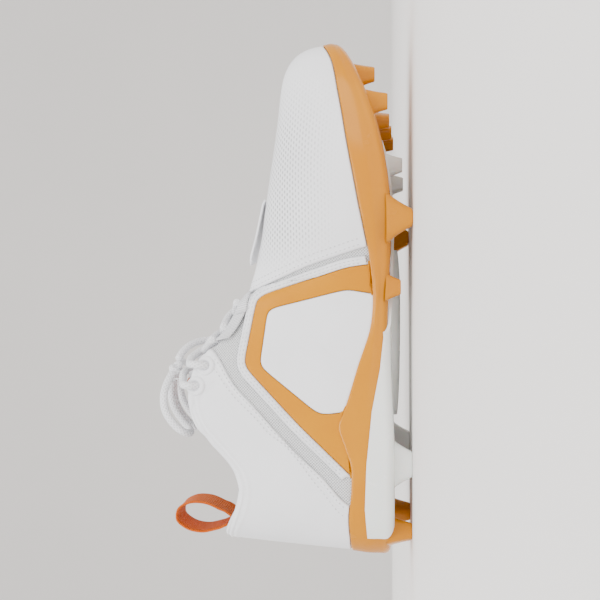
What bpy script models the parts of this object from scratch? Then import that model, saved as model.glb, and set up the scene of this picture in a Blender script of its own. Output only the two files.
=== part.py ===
# American football cleat, the left shoe, standing empty on its studs.
#
# Metres. +X points to the toe, +Y to the outer side of the foot, +Z up.
# z = 0 is the plane of the stud tips. Lengths in the functions below run from the back of the
# heel cup; place() moves every finished mesh so that the origin is under the middle of the shoe.
#
# The upper is one function, surface(side, u, v). u runs round the foot from the back of the heel
# (0) to the tip of the toe (1), v from the sole (0) to the collar, throat edge or ridge (1).
# Each section is a superellipse between a foot point and a head point, both read from STATIONS.

import math

import bmesh
import bpy
import numpy as np
from mathutils import Matrix, Vector

# Driving sizes
LENGTH = 0.305
BALL_WIDTH = 0.103
HEEL_HEIGHT = 0.1105
COLLAR_HEIGHT = 0.1310
INSTEP_HEIGHT = 0.1015
TOE_HEIGHT = 0.0765
STUD_HEIGHT = 0.012
PLATE_THICKNESS = 0.004
ARCH_RISE = 0.002
TOE_SPRING = 0.030
RAND_HEIGHT = 0.0255
RAND_THICKNESS = 0.0020
UPPER_WALL = 0.0020
SKIN_THICKNESS = 0.0012
INSOLE_THICKNESS = 0.0040
TONGUE_THICKNESS = 0.0035
TONGUE_DOME = 0.085
TONGUE_CLEARANCE = 0.0016
TONGUE_NARROWING = 0.86
SHANK_THICKNESS = 0.0016
STUD_LENGTH = 0.015
STUD_WIDTH = 0.012
LACE_RADIUS = 0.0023
LACE_OVER_EDGE = 0.0022
LACE_BROW = (0.0010, 0.0, 0.0043)
LACE_CRESTS = ((0.0025, 0.0, 0.0015), (0.0050, 0.0, 0.0026))
LACE_STEP = 0.0072
EYELET_RADIUS = 0.0044
EYELET_WIRE = 0.0011
EYELET_HOLE = 0.0029
LOOP_WIDTH = 0.020
LOOP_HEIGHT = 0.034
LOOP_STEP = 0.0042
LOOP_FOOT = 0.0030
LOOP_BOW = 0.0012
WEBBING = 0.0014
GAP = 0.0003
OVERLAY_GAP = 0.0005
WELD = 0.00002
PLAN_CUT = (-0.02, 0.08)
SIDE_CUT = (-0.08, 0.08)

# Shares that set where the pieces change
BALL_AT = 0.64
THROAT_FRONT = 0.532
THROAT_REAR = 0.36
SPINE_START = 0.09
SPINE_END = 0.885
TIP_SIDE = -0.10

SIDES = {"medial": -1, "lateral": 1}
SIZE_OF = {"heel": HEEL_HEIGHT, "collar": COLLAR_HEIGHT, "instep": INSTEP_HEIGHT, "toe": TOE_HEIGHT}

# u: place round the foot
# medial, lateral: half widths of the sole, shares of the ball width
# head: how far along the head point is, a share of the length
# middle, opening: where the head's centre line lies and half its opening, shares of the ball width
# size, height: the named size that the head's height follows, and its share
# medial_bow, lateral_bow: 2 is a straight section, 1 an ellipse, less is boxy
# waist: how far the wall is drawn in halfway up, a share of the ball width
COLUMNS = ("u", "medial", "lateral", "head", "middle", "opening", "size", "height",
           "medial_bow", "lateral_bow", "waist")
STATIONS = (
    (0.000, 0.000, 0.000, 0.030, 0.00, 0.000, "heel", 1.000, 1.75, 1.75, 0.000),
    (0.050, 0.115, 0.118, 0.035, 0.00, 0.105, "heel", 1.000, 1.75, 1.75, 0.003),
    (0.100, 0.205, 0.210, 0.050, 0.00, 0.200, "heel", 0.992, 1.75, 1.75, 0.006),
    (0.150, 0.280, 0.288, 0.073, 0.00, 0.262, "heel", 0.962, 1.75, 1.75, 0.010),
    (0.200, 0.335, 0.345, 0.102, 0.00, 0.300, "heel", 0.925, 1.72, 1.72, 0.014),
    (0.250, 0.358, 0.370, 0.141, 0.00, 0.315, "heel", 0.905, 1.70, 1.70, 0.016),
    (0.300, 0.355, 0.375, 0.181, 0.00, 0.312, "heel", 0.945, 1.65, 1.65, 0.014),
    (0.350, 0.336, 0.378, 0.231, -0.01, 0.285, "collar", 0.908, 1.60, 1.60, 0.008),
    (0.380, 0.322, 0.382, 0.263, -0.02, 0.260, "collar", 0.973, 1.55, 1.55, 0.004),
    (0.400, 0.315, 0.386, 0.295, -0.02, 0.235, "collar", 1.000, 1.50, 1.52, 0.000),
    (0.430, 0.308, 0.393, 0.341, -0.03, 0.198, "collar", 0.996, 1.42, 1.46, 0.000),
    (0.450, 0.306, 0.398, 0.377, -0.03, 0.175, "collar", 0.966, 1.36, 1.42, 0.000),
    (0.465, 0.307, 0.404, 0.400, -0.035, 0.160, "collar", 0.905, 1.32, 1.38, 0.000),
    (0.485, 0.311, 0.412, 0.430, -0.04, 0.148, "instep", 1.075, 1.27, 1.34, 0.000),
    (0.500, 0.317, 0.420, 0.462, -0.045, 0.134, "instep", 1.015, 1.22, 1.30, 0.000),
    (0.518, 0.332, 0.434, 0.485, -0.05, 0.112, "instep", 0.985, 1.17, 1.26, 0.000),
    (0.532, 0.345, 0.446, 0.502, -0.055, 0.000, "instep", 0.968, 1.13, 1.22, 0.000),
    (0.570, 0.388, 0.474, 0.554, -0.065, 0.000, "instep", 0.915, 1.04, 1.15, 0.000),
    (0.600, 0.432, 0.492, 0.600, -0.07, 0.000, "instep", 0.882, 0.98, 1.10, 0.000),
    (0.650, 0.472, 0.490, 0.665, -0.08, 0.000, "instep", 0.850, 0.93, 1.06, 0.000),
    (0.700, 0.474, 0.458, 0.722, -0.085, 0.000, "instep", 0.822, 0.88, 1.02, 0.000),
    (0.750, 0.452, 0.410, 0.770, -0.09, 0.000, "toe", 1.057, 0.84, 0.96, 0.000),
    (0.800, 0.418, 0.348, 0.810, -0.09, 0.000, "toe", 1.030, 0.80, 0.89, 0.000),
    (0.850, 0.366, 0.268, 0.840, -0.09, 0.000, "toe", 1.014, 0.76, 0.82, 0.000),
    (0.900, 0.300, 0.166, 0.860, -0.09, 0.000, "toe", 1.004, 0.72, 0.75, 0.000),
    (0.950, 0.212, 0.040, 0.872, -0.09, 0.000, "toe", 0.998, 0.69, 0.70, 0.000),
    (1.000, 0.100, -0.100, 0.876, -0.09, 0.000, "toe", 0.995, 0.67, 0.67, 0.000),
)

# Top edge of the rand: x as a share of the length, rise above the plate as a share of its height
RAND_COLUMNS = ("x", "rise")
RAND_LINE = (
    (-0.02, 0.75), (0.045, 0.76), (0.085, 0.78), (0.150, 0.72), (0.192, 0.735), (0.235, 0.90),
    (0.268, 1.00), (0.301, 0.83), (0.371, 0.53), (0.452, 0.22), (0.497, 0.19), (0.580, 0.31),
    (0.685, 0.54), (0.786, 0.59), (0.875, 0.47), (0.960, 0.29), (1.000, 0.30), (1.020, 0.31),
)

# Side view outlines: x as a share of the length, z as a share of the collar height
# A corner lower than LOW_CORNER stands on the rand
PANEL_COLUMNS = ("x", "z")
LOW_CORNER = 0.07
RAND_CLEARANCE = 0.0009
WINDOW_DROP = 0.006
FRAME_OUTLINE = ((0.572, 0.06), (0.572, 0.20), (0.504, 0.690), (0.373, 0.748), (0.172, 0.285), (0.165, 0.06))
PANE_OUTLINE = ((0.519, 0.285), (0.503, 0.06), (0.303, 0.06), (0.281, 0.402), (0.372, 0.675), (0.481, 0.640))
VAMP_OUTLINE = ((0.603, 0.06), (0.597, 0.20), (0.563, 0.455), (0.506, 0.775), (0.500, 0.95),
                (1.10, 0.95), (1.10, 0.06))
SHELL_OUTLINE = ((-0.05, 0.06), (0.105, 0.06), (0.112, 0.290), (0.160, 0.372), (0.214, 0.520), (0.312, 0.735),
                 (0.333, 0.797), (0.366, 0.840), (0.408, 0.878), (0.408, 1.20), (-0.05, 1.20))

# White plate under the foot: shares of the length and of the ball width, as a closed curve
SHANK_OUTLINE = ((0.812, -0.11), (0.780, -0.19), (0.745, -0.21), (0.700, -0.18), (0.640, -0.15), (0.590, -0.18),
                 (0.500, -0.24), (0.440, -0.31), (0.385, -0.50), (0.200, -0.55), (-0.03, -0.50),
                 (-0.03, 0.50), (0.200, 0.55), (0.385, 0.52), (0.440, 0.39), (0.500, 0.31), (0.590, 0.22),
                 (0.640, 0.19), (0.700, 0.21), (0.745, 0.26), (0.775, 0.24), (0.790, 0.15), (0.770, 0.03))
SHANK_SCOOP = ((-0.06, -0.23), (0.030, -0.30), (0.085, -0.27), (0.125, -0.17), (0.155, -0.07), (0.160, 0.0),
               (0.155, 0.07), (0.125, 0.18), (0.085, 0.28), (0.030, 0.31), (-0.06, 0.24))
SHANK_LENSES = (((0.735, -0.13), (0.690, -0.12), (0.625, -0.06), (0.690, -0.055), (0.735, -0.09)),
                ((0.725, 0.06), (0.670, 0.04), (0.610, 0.07), (0.660, 0.125), (0.715, 0.13)))
SHANK_SIDE = ((0.045, 0.00), (0.030, 0.14), (0.050, 0.195), (0.112, 0.205), (0.193, 0.198), (0.292, 0.175),
              (0.370, 0.140), (0.430, 0.125), (0.85, 0.230), (0.85, -0.02), (0.045, -0.02))

# Studs: x and y of the foot, shares of length and ball width; size of foot and tip, shares of
# the stud sizes; how much of the stud height it has; turn about +Z in degrees
STUD_COLUMNS = ("x", "y", "long", "wide", "tip_long", "tip_wide", "height", "turn")
OUTSOLE_STUDS = (
    (0.930, -0.235, 0.90, 1.00, 0.55, 0.70, 0.85, -20),
    (0.915, 0.130, 0.90, 1.00, 0.55, 0.70, 0.85, 24),
    (0.868, -0.335, 0.95, 0.95, 0.60, 0.60, 0.85, -14),
    (0.838, 0.285, 0.95, 0.95, 0.60, 0.60, 0.85, 20),
    (0.852, -0.100, 0.75, 0.80, 0.50, 0.60, 0.80, -35),
    (0.838, 0.020, 0.75, 0.80, 0.50, 0.60, 0.80, -35),
    (0.824, 0.135, 0.75, 0.80, 0.50, 0.60, 0.80, -35),
    (0.648, -0.405, 1.70, 1.05, 0.62, 0.70, 1.00, -4),
    (0.636, 0.415, 1.70, 1.05, 0.62, 0.70, 1.00, 6),
    (0.522, -0.315, 1.00, 0.55, 0.55, 0.40, 0.55, 8),
    (0.540, 0.395, 1.00, 0.65, 0.55, 0.45, 0.55, -8),
    (0.056, -0.175, 1.05, 1.20, 0.62, 0.75, 1.00, 26),
    (0.062, 0.185, 1.05, 1.20, 0.62, 0.75, 1.00, -26),
)
SHANK_STUDS = (
    (0.763, -0.110, 0.95, 0.75, 0.55, 0.45, 0.86, -12),
    (0.742, 0.185, 0.95, 0.75, 0.55, 0.45, 0.86, 14),
    (0.190, -0.255, 1.75, 0.85, 0.95, 0.42, 1.00, 6),
    (0.200, 0.270, 1.75, 0.85, 0.95, 0.42, 1.00, -6),
)
KEEL = {"start": 0.27, "end": 0.60, "y": 0.03, "width": 0.20, "depth": 0.42}

# Eyelets on the ankle shell, side view shares of length and collar height
EYELETS = ((0.3700, 0.925), (0.3310, 0.968))
# Webbing strips beside the throat, from u to u, and how far up the section they start
WEBBING_STRIPS = {"front": (0.502, 0.527), "rear": (0.474, 0.499)}
WEBBING_FOOT = 0.80
WEBBING_OVERHANG = 0.0020
WEBBING_LIFT = 0.0016
# The band on the ridge of the vamp, from u to u; its rear end stands off the vamp
RIDGE_BAND = {"rear": 0.578, "front": 0.668, "foot": 0.87, "lift": 0.0028, "thickness": 0.0014}

# Lace rows at the throat, as u, and the lace's route points in metres from the back of the heel
LACE_ROWS = (0.519, 0.488, 0.470)
LACE_KNOT = {"at": (0.1088, -0.0035, 0.1453), "size": (0.0055, 0.0070, 0.0038)}
LACE_ROUTES = {
    "lace_loop_medial": ((0.1070, -0.0113, 0.1460), (0.1015, -0.0165, 0.1476), (0.0950, -0.0210, 0.1482),
                         (0.0870, -0.0236, 0.1468), (0.0773, -0.0240, 0.1403), (0.0742, -0.0228, 0.1371),
                         (0.0722, -0.0195, 0.1345), (0.0715, -0.0150, 0.1335), (0.0722, -0.0105, 0.1345),
                         (0.0742, -0.0072, 0.1371), (0.0773, -0.0060, 0.1403), (0.0870, -0.0062, 0.1465),
                         (0.0950, -0.0064, 0.1480), (0.1018, -0.0065, 0.1480)),
    "lace_loop_lateral": ((0.1070, 0.0043, 0.1460), (0.1015, 0.0100, 0.1476), (0.0950, 0.0152, 0.1482),
                          (0.0870, 0.0183, 0.1468), (0.0773, 0.0190, 0.1403), (0.0742, 0.0178, 0.1371),
                          (0.0722, 0.0145, 0.1345), (0.0715, 0.0100, 0.1335), (0.0722, 0.0055, 0.1345),
                          (0.0742, 0.0022, 0.1371), (0.0773, 0.0010, 0.1403), (0.0870, 0.0006, 0.1465),
                          (0.0950, 0.0000, 0.1480), (0.1018, -0.0005, 0.1480)),
    "lace_end_rear": ((0.1125, 0.0032, 0.1454), (0.1130, 0.0110, 0.1458), (0.1110, 0.0190, 0.1445),
                      (0.1070, 0.0265, 0.1405), (0.1010, 0.0320, 0.1330), (0.0940, 0.0355, 0.1220),
                      (0.0860, 0.0380, 0.1100), (0.0800, 0.0400, 0.0990)),
    "lace_end_front": ((0.1156, -0.0015, 0.1446), (0.1195, 0.0035, 0.1435), (0.1235, 0.0105, 0.1405),
                       (0.1260, 0.0180, 0.1350), (0.1265, 0.0245, 0.1265), (0.1250, 0.0300, 0.1160)),
}
# The tongue's top above the throat: how far back and up each row is, and its share of the width
TONGUE_TOP = ((0.0015, 0.0005, 0.66), (0.0085, 0.0074, 0.64), (0.0135, 0.0145, 0.62), (0.0165, 0.0205, 0.60))
# The heel loop's route in the side view, as shares of its width and height from its foot
HEEL_LOOP = ((0.20, -0.42), (0.14, -0.10), (0.02, 0.18), (-0.10, 0.52), (0.02, 0.82), (0.28, 0.99), (0.62, 0.97),
             (0.86, 0.76), (0.88, 0.44), (0.66, 0.12), (0.42, -0.10), (0.33, -0.42))

# Colours as linear values
AMBER = (0.80, 0.37, 0.008, 1.0)
RED_ORANGE = (0.72, 0.15, 0.02, 1.0)
WHITE = (0.82, 0.83, 0.84, 1.0)
PLATE_WHITE = (0.80, 0.82, 0.80, 1.0)
MESH_GREY = (0.55, 0.56, 0.57, 1.0)


def column(rows, names, name):
    return np.array([row[names.index(name)] for row in rows])


def smooth(xs, ys, x):
    """Cubic curve through (xs, ys), its slope at a knot that of the two beside it."""
    xs = np.asarray(xs, float)
    ys = np.asarray(ys, float)
    x = np.clip(np.asarray(x, float), xs[0], xs[-1])
    slopes = np.gradient(ys, xs)
    i = np.clip(np.searchsorted(xs, x, side="right") - 1, 0, len(xs) - 2)
    h = xs[i + 1] - xs[i]
    t = (x - xs[i]) / h
    a = (1 + 2 * t) * (1 - t) ** 2 * ys[i] + t * (1 - t) ** 2 * h * slopes[i]
    b = t * t * (3 - 2 * t) * ys[i + 1] + t * t * (t - 1) * h * slopes[i + 1]
    return a + b


def station(name, u):
    return smooth(column(STATIONS, COLUMNS, "u"), column(STATIONS, COLUMNS, name), u)


def head_height(u):
    sizes = column(STATIONS, COLUMNS, "size")
    shares = column(STATIONS, COLUMNS, "height").astype(float)
    heights = [SIZE_OF[name] * share for name, share in zip(sizes, shares)]
    return smooth(column(STATIONS, COLUMNS, "u"), heights, u)


def plate_top(x):
    """Height of the plate's upper face: flat, a low arch in the waist, and the toe spring."""
    along = np.asarray(x, float) / LENGTH
    arch = np.sin(math.pi * np.clip((along - 0.20) / 0.44, 0, 1)) ** 2
    spring = np.clip((along - BALL_AT) / (1 - BALL_AT), 0, None) ** 2
    return STUD_HEIGHT + PLATE_THICKNESS + ARCH_RISE * arch + TOE_SPRING * spring


def rand_top(x):
    rise = smooth(column(RAND_LINE, RAND_COLUMNS, "x"), column(RAND_LINE, RAND_COLUMNS, "rise"),
                  np.asarray(x) / LENGTH)
    return plate_top(x) + RAND_HEIGHT * rise


def foot_point(side, u):
    """Where the upper's outer face meets the plate."""
    inset = RAND_THICKNESS + GAP
    x = inset + (LENGTH - 2 * inset) * (1 - np.cos(math.pi * u)) / 2
    middle = (station("lateral", u) - station("medial", u)) / 2
    half = (station("lateral", u) + station("medial", u)) / 2
    half_metres = half * (BALL_WIDTH - 2 * inset)
    return x, middle * BALL_WIDTH + SIDES[side] * half_metres, plate_top(x) + GAP


def surface(side, u, v):
    """Outer face of the upper: arrays u (n) and v (m or n by m) give points (n, m, 3)."""
    u = np.atleast_1d(np.asarray(u, float))
    v = np.asarray(v, float)
    v = np.broadcast_to(v, (len(u), v.shape[-1]))
    foot_x, foot_y, foot_z = foot_point(side, u)
    head_x = station("head", u) * LENGTH
    opening = np.maximum(station("opening", u), 0) * (u < THROAT_FRONT)
    head_y = (station("middle", u) + SIDES[side] * opening) * BALL_WIDTH
    bow = station(side + "_bow", u)[:, None]
    size = ((1 - v) ** (2 / bow) + v ** (2 / bow)) ** (bow / 2)
    inward = 1 - (1 - v) / size
    upward = v / size
    x = foot_x[:, None] + (head_x - foot_x)[:, None] * inward
    y = foot_y[:, None] + (head_y - foot_y)[:, None] * inward
    y = y - SIDES[side] * (station("waist", u) * BALL_WIDTH)[:, None] * np.sin(math.pi * upward)
    z = foot_z[:, None] + (head_height(u) - foot_z)[:, None] * upward
    return np.stack([x, y, z], axis=-1)


def normals(side, u, v):
    """Outward unit normals of surface(), the same on both sides where the two sides meet."""
    u = np.atleast_1d(np.asarray(u, float))
    v = np.broadcast_to(np.asarray(v, float), (len(u), np.asarray(v).shape[-1]))
    step = 1e-4
    along = surface(side, np.clip(u + step, 0, 1), v) - surface(side, np.clip(u - step, 0, 1), v)
    up = surface(side, u, np.clip(v + step, 0, 1)) - surface(side, u, np.clip(v - step, 0, 1))
    out = np.cross(up, along) * SIDES[side]
    ends = (u <= 0) | (u >= 1)
    ridge = (u >= THROAT_FRONT)[:, None] & (v >= 1)
    out[ends, :, 1] = 0
    ahead = (station("head", u + step) - station("head", u - step)) * LENGTH
    rise = head_height(u + step) - head_height(u - step)
    for axis, part in enumerate((-rise, 0 * u, ahead)):
        out[..., axis] = np.where(ridge, part[:, None], out[..., axis])
    return out / np.linalg.norm(out, axis=-1, keepdims=True)


def lifted(side, u, v, lift):
    return surface(side, u, v) + normals(side, u, v) * lift


def v_at_height(side, u, z):
    """The v at which the section at each u reaches height z."""
    foot_z = foot_point(side, u)[2]
    share = np.clip((z - foot_z) / (head_height(u) - foot_z), 0, 0.999)
    bow = station(side + "_bow", u)
    rest = (1 - share ** (2 / bow)) ** (bow / 2)
    return share / (share + rest)


def find(side, x, z):
    """The point and normal of the upper's outer face seen at x, z from the side."""
    u = np.linspace(0.02, 0.98, 300)
    v = np.linspace(0.0, 1.0, 200)
    points = surface(side, u, v)
    away = (points[..., 0] - x) ** 2 + (points[..., 2] - z) ** 2
    i, j = np.unravel_index(np.argmin(away), away.shape)
    return points[i, j], normals(side, u[i:i + 1], v[j:j + 1])[0, 0]


U_LEVELS = np.concatenate([np.linspace(0, THROAT_REAR, 10), np.linspace(THROAT_REAR, THROAT_FRONT, 12)[1:],
                           np.linspace(THROAT_FRONT, 1, 13)[1:]])
V_LEVELS = np.array([0.0, 0.16, 0.34, 0.52, 0.70, 0.86, 1.0])


def middle_of_sole():
    """Half of the sum of the outermost sides, so that the origin lies under the middle."""
    low = foot_point("medial", U_LEVELS)[1].min()
    high = foot_point("lateral", U_LEVELS)[1].max()
    return np.array([LENGTH / 2, (low + high) / 2, 0.0])


CENTRE = middle_of_sole()


def material(name, colour, roughness):
    made = bpy.data.materials.new(name)
    made.use_nodes = True
    shader = made.node_tree.nodes["Principled BSDF"]
    shader.inputs["Base Color"].default_value = colour
    shader.inputs["Roughness"].default_value = roughness
    shader.inputs["Metallic"].default_value = 0.0
    made.diffuse_color = colour
    return made


def place(name, mesh, collection, look, sheet=False):
    """Make a node of a bmesh, moved so that the origin is under the middle of the shoe."""
    bmesh.ops.remove_doubles(mesh, verts=mesh.verts, dist=WELD)
    if not sheet:
        bmesh.ops.recalc_face_normals(mesh, faces=mesh.faces)
    for vertex in mesh.verts:
        vertex.co.x -= CENTRE[0]
        vertex.co.y -= CENTRE[1]
    data = bpy.data.meshes.new(name)
    mesh.to_mesh(data)
    mesh.free()
    made = bpy.data.objects.new(name, data)
    collection.objects.link(made)
    if look is not None:
        data.materials.append(look)
    data.shade_smooth()
    data.set_sharp_from_angle(angle=math.radians(35))
    return made


def grid_faces(mesh, points):
    """Triangles between the points of an (n, m, 3) array, returned as a table of vertices."""
    rows = [[mesh.verts.new(tuple(p)) for p in row] for row in points]
    for row, after in zip(rows[:-1], rows[1:]):
        for j in range(len(row) - 1):
            mesh.faces.new([row[j], row[j + 1], after[j + 1]])
            mesh.faces.new([row[j], after[j + 1], after[j]])
    return rows


def open_shell(u, v, lift, sides=("lateral", "medial")):
    """An open sheet of the upper's function over both sides, welded at heel, toe and ridge."""
    mesh = bmesh.new()
    for side in sides:
        points = lifted(side, u, v, lift)
        if side == "medial":
            points = points[::-1]
        grid_faces(mesh, points)
    bmesh.ops.remove_doubles(mesh, verts=mesh.verts, dist=WELD)
    loose = [f for f in mesh.faces if f.calc_area() < 1e-12]
    bmesh.ops.delete(mesh, geom=loose, context="FACES")
    return mesh


def thicken(made, thickness, outward):
    """Turn an open sheet into a closed wall."""
    wall = made.modifiers.new("wall", "SOLIDIFY")
    wall.thickness = thickness
    wall.offset = 1.0 if outward else -1.0
    return wall


def prism(name, outline, along, low, high, cutters):
    """A cutter with a flat outline, drawn in the side view (along Y) or the plan (along Z)."""
    mesh = bmesh.new()
    corners = []
    for first, second in outline:
        spot = (first, low, second) if along == "Y" else (first, second, low)
        corners.append(mesh.verts.new(spot))
    face = mesh.faces.new(corners)
    grown = bmesh.ops.extrude_face_region(mesh, geom=[face])
    shift = (0, high - low, 0) if along == "Y" else (0, 0, high - low)
    moved = [g for g in grown["geom"] if isinstance(g, bmesh.types.BMVert)]
    bmesh.ops.translate(mesh, verts=moved, vec=shift)
    return as_cutter(place(name, mesh, cutters, None))


def cut(made, cutter, operation):
    step = made.modifiers.new(cutter.name, "BOOLEAN")
    step.operation = operation
    step.solver = "EXACT"
    step.object = cutter
    return step


def side_outline(rows, drop=0.0):
    """Side view outline in metres; between its low corners it follows the top of the rand."""
    points = [(x * LENGTH, z * COLLAR_HEIGHT) for x, z in rows]
    low = [z < LOW_CORNER for x, z in rows]
    turn = next(i for i in range(len(rows)) if low[i] and not low[(i + 1) % len(rows)]) + 1
    points = points[turn:] + points[:turn]
    free = len(rows) - sum(low)
    start, end = points[free][0], points[-1][0]
    knots = foot_point("medial", U_LEVELS)[0]
    inner = [x for x in knots if min(start, end) < x < max(start, end)]
    along = sorted([start, end] + inner, reverse=start > end)
    edge = [(float(x), float(np.interp(x, knots, rand_top(knots))) + RAND_CLEARANCE - drop) for x in along]
    return points[:free] + edge


def shrink(points, distance):
    """Move each side of a closed outline inwards by a distance."""
    loop = np.array(points)
    area = np.sum(loop[:, 0] * np.roll(loop[:, 1], -1) - np.roll(loop[:, 0], -1) * loop[:, 1])
    turn = 1 if area > 0 else -1
    before = loop - np.roll(loop, 1, axis=0)
    after = np.roll(loop, -1, axis=0) - loop
    before = before / np.linalg.norm(before, axis=1, keepdims=True)
    after = after / np.linalg.norm(after, axis=1, keepdims=True)
    n_before = np.stack([-before[:, 1], before[:, 0]], axis=1) * turn
    n_after = np.stack([-after[:, 1], after[:, 0]], axis=1) * turn
    both = n_before + n_after
    both = both / np.maximum(1e-9, 1 + np.sum(n_before * n_after, axis=1, keepdims=True))
    return [tuple(p) for p in loop + both * distance]


def closed_curve(rows, steps):
    """Catmull-Rom curve through plan points given as shares."""
    loop = np.array(rows) * np.array([LENGTH, BALL_WIDTH])
    found = []
    for i in range(len(loop)):
        p = [loop[(i + k) % len(loop)] for k in (-1, 0, 1, 2)]
        for t in np.arange(steps) / steps:
            found.append(0.5 * (2 * p[1] + (p[2] - p[0]) * t + (2 * p[0] - 5 * p[1] + 4 * p[2] - p[3]) * t ** 2
                                + (3 * p[1] - p[0] - 3 * p[2] + p[3]) * t ** 3))
    return [(float(a), float(b)) for a, b in found]


def make_upper(parts, look, cutters):
    mesh = open_shell(U_LEVELS, V_LEVELS, 0.0)
    made = place("upper", mesh, parts, look, sheet=True)
    thicken(made, UPPER_WALL, outward=False)
    for cutter in cutters:
        cut(made, cutter, "DIFFERENCE")
    return made


def sole_section(side, u):
    """Outer and inner edge of the outsole at each u, from the spine out and up to the rand top."""
    x_spine = (SPINE_START + (SPINE_END - SPINE_START) * (1 - np.cos(math.pi * u)) / 2) * LENGTH
    y_spine = TIP_SIDE * BALL_WIDTH * (x_spine / LENGTH) ** 2
    foot = surface(side, u, np.array([0.0]))[:, 0]
    out = normals(side, u, np.array([0.004]))[:, 0] * np.array([1.0, 1.0, 0.0])
    out = out / np.linalg.norm(out, axis=-1, keepdims=True)
    edge = foot + out * (RAND_THICKNESS + GAP)
    spine = np.stack([x_spine, y_spine, plate_top(x_spine)], axis=-1)
    outer = []
    for share in (0.0, 0.60):
        spot = spine + (edge - spine) * share
        spot[:, 2] = plate_top(spot[:, 0]) - PLATE_THICKNESS
        outer.append(spot)
    for inset, up in ((0.0050, 0.0), (0.0022, 0.0010), (0.0006, 0.0030)):
        spot = edge - out * inset
        spot[:, 2] = plate_top(spot[:, 0]) - PLATE_THICKNESS + up
        outer.append(spot)
    inner = [spine.copy()]
    for share in (0.60,):
        spot = spine + (foot + out * GAP - spine) * share
        spot[:, 2] = plate_top(spot[:, 0])
        inner.append(spot)
    corner = foot + out * GAP
    corner[:, 2] = plate_top(corner[:, 0])
    inner.append(corner)
    top = v_at_height(side, u, rand_top(foot[:, 0]))
    for share in (0.45, 1.0):
        level = (top * share)[:, None]
        outer.append(lifted(side, u, level, RAND_THICKNESS + GAP)[:, 0])
        inner.append(lifted(side, u, level, GAP * 1.2)[:, 0])
    return np.stack(outer, axis=1), np.stack(inner, axis=1)


def loft_frustum(mesh, rings):
    """A closed solid through rings of points, capped at both ends."""
    rows = [[mesh.verts.new(tuple(p)) for p in ring] for ring in rings]
    count = len(rows[0])
    for lower, upper in zip(rows[:-1], rows[1:]):
        for i in range(count):
            mesh.faces.new([lower[i], lower[(i + 1) % count], upper[(i + 1) % count], upper[i]])
    for row, ring in ((rows[0], rings[0]), (rows[-1], rings[-1])):
        middle = mesh.verts.new(tuple(np.mean(ring, axis=0)))
        for i in range(count):
            mesh.faces.new([row[i], row[(i + 1) % count], middle])


def as_cutter(made):
    made.hide_render = True
    made.display_type = "WIRE"
    return made


def keel(name, cutters):
    """The shank's keel: sections across the foot, widest and deepest in the middle."""
    rings = []
    for share in np.linspace(0, 1, 11):
        x = (KEEL["start"] + (KEEL["end"] - KEEL["start"]) * share) * LENGTH
        fullness = math.sin(math.pi * (0.06 + 0.88 * share))
        half = KEEL["width"] * BALL_WIDTH * fullness / 2
        foot = float(plate_top(x)) - PLATE_THICKNESS - GAP - SHANK_THICKNESS * 0.5
        drop = SHANK_THICKNESS + KEEL["depth"] * STUD_HEIGHT * fullness ** 0.7
        y = KEEL["y"] * BALL_WIDTH
        rings.append([(x, y - half, foot), (x, y - half * 0.55, foot - drop * 0.85), (x, y, foot - drop),
                      (x, y + half * 0.55, foot - drop * 0.85), (x, y + half, foot), (x, y, foot + GAP)])
    mesh = bmesh.new()
    loft_frustum(mesh, rings)
    return as_cutter(place(name, mesh, cutters, None))


def stud(name, row, root, cutters):
    """A flared stud: a rounded foot sunk into its plate, a waist and a flat tip."""
    values = dict(zip(STUD_COLUMNS, row))
    x = values["x"] * LENGTH
    y = values["y"] * BALL_WIDTH
    ground = float(plate_top(x)) - PLATE_THICKNESS - STUD_HEIGHT * values["height"]
    ground = max(ground, 0.0)
    turn = math.radians(values["turn"])
    angles = (np.arange(8) + 0.5) * math.tau / 8
    rings = []
    for share, depth in ((1.0, 0.0), (0.45, 0.45), (0.10, 0.93), (0.0, 1.0)):
        long = STUD_LENGTH * (values["tip_long"] + (values["long"] - values["tip_long"]) * share) / 2
        wide = STUD_WIDTH * (values["tip_wide"] + (values["wide"] - values["tip_wide"]) * share) / 2
        if depth == 1.0:
            long = long * 0.86
            wide = wide * 0.86
        across = np.sign(np.cos(angles)) * np.abs(np.cos(angles)) ** 0.6 * long
        aside = np.sign(np.sin(angles)) * np.abs(np.sin(angles)) ** 0.6 * wide
        px = x + across * math.cos(turn) - aside * math.sin(turn)
        py = y + across * math.sin(turn) + aside * math.cos(turn)
        foot = plate_top(px) - PLATE_THICKNESS + root
        flat = np.full_like(px, ground)
        rings.append(np.stack([px, py, foot + (flat - foot) * depth], axis=-1))
    mesh = bmesh.new()
    loft_frustum(mesh, rings)
    return as_cutter(place(name, mesh, cutters, None))


def make_outsole(parts, cutters, look):
    """Plate, rand and heel cup as one loft, with the amber studs joined on."""
    loops = []
    for side in ("lateral", "medial"):
        outer, inner = sole_section(side, U_LEVELS)
        loop = np.concatenate([outer, inner[:, ::-1]], axis=1)
        loops.append(loop if side == "lateral" else loop[::-1])
    mesh = bmesh.new()
    for loop in loops:
        grid_faces(mesh, loop)
    made = place("outsole", mesh, parts, look)
    for index, row in enumerate(OUTSOLE_STUDS):
        cut(made, stud("outsole_stud_%02d" % index, row, PLATE_THICKNESS * 0.45, cutters), "UNION")
    return made


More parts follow.
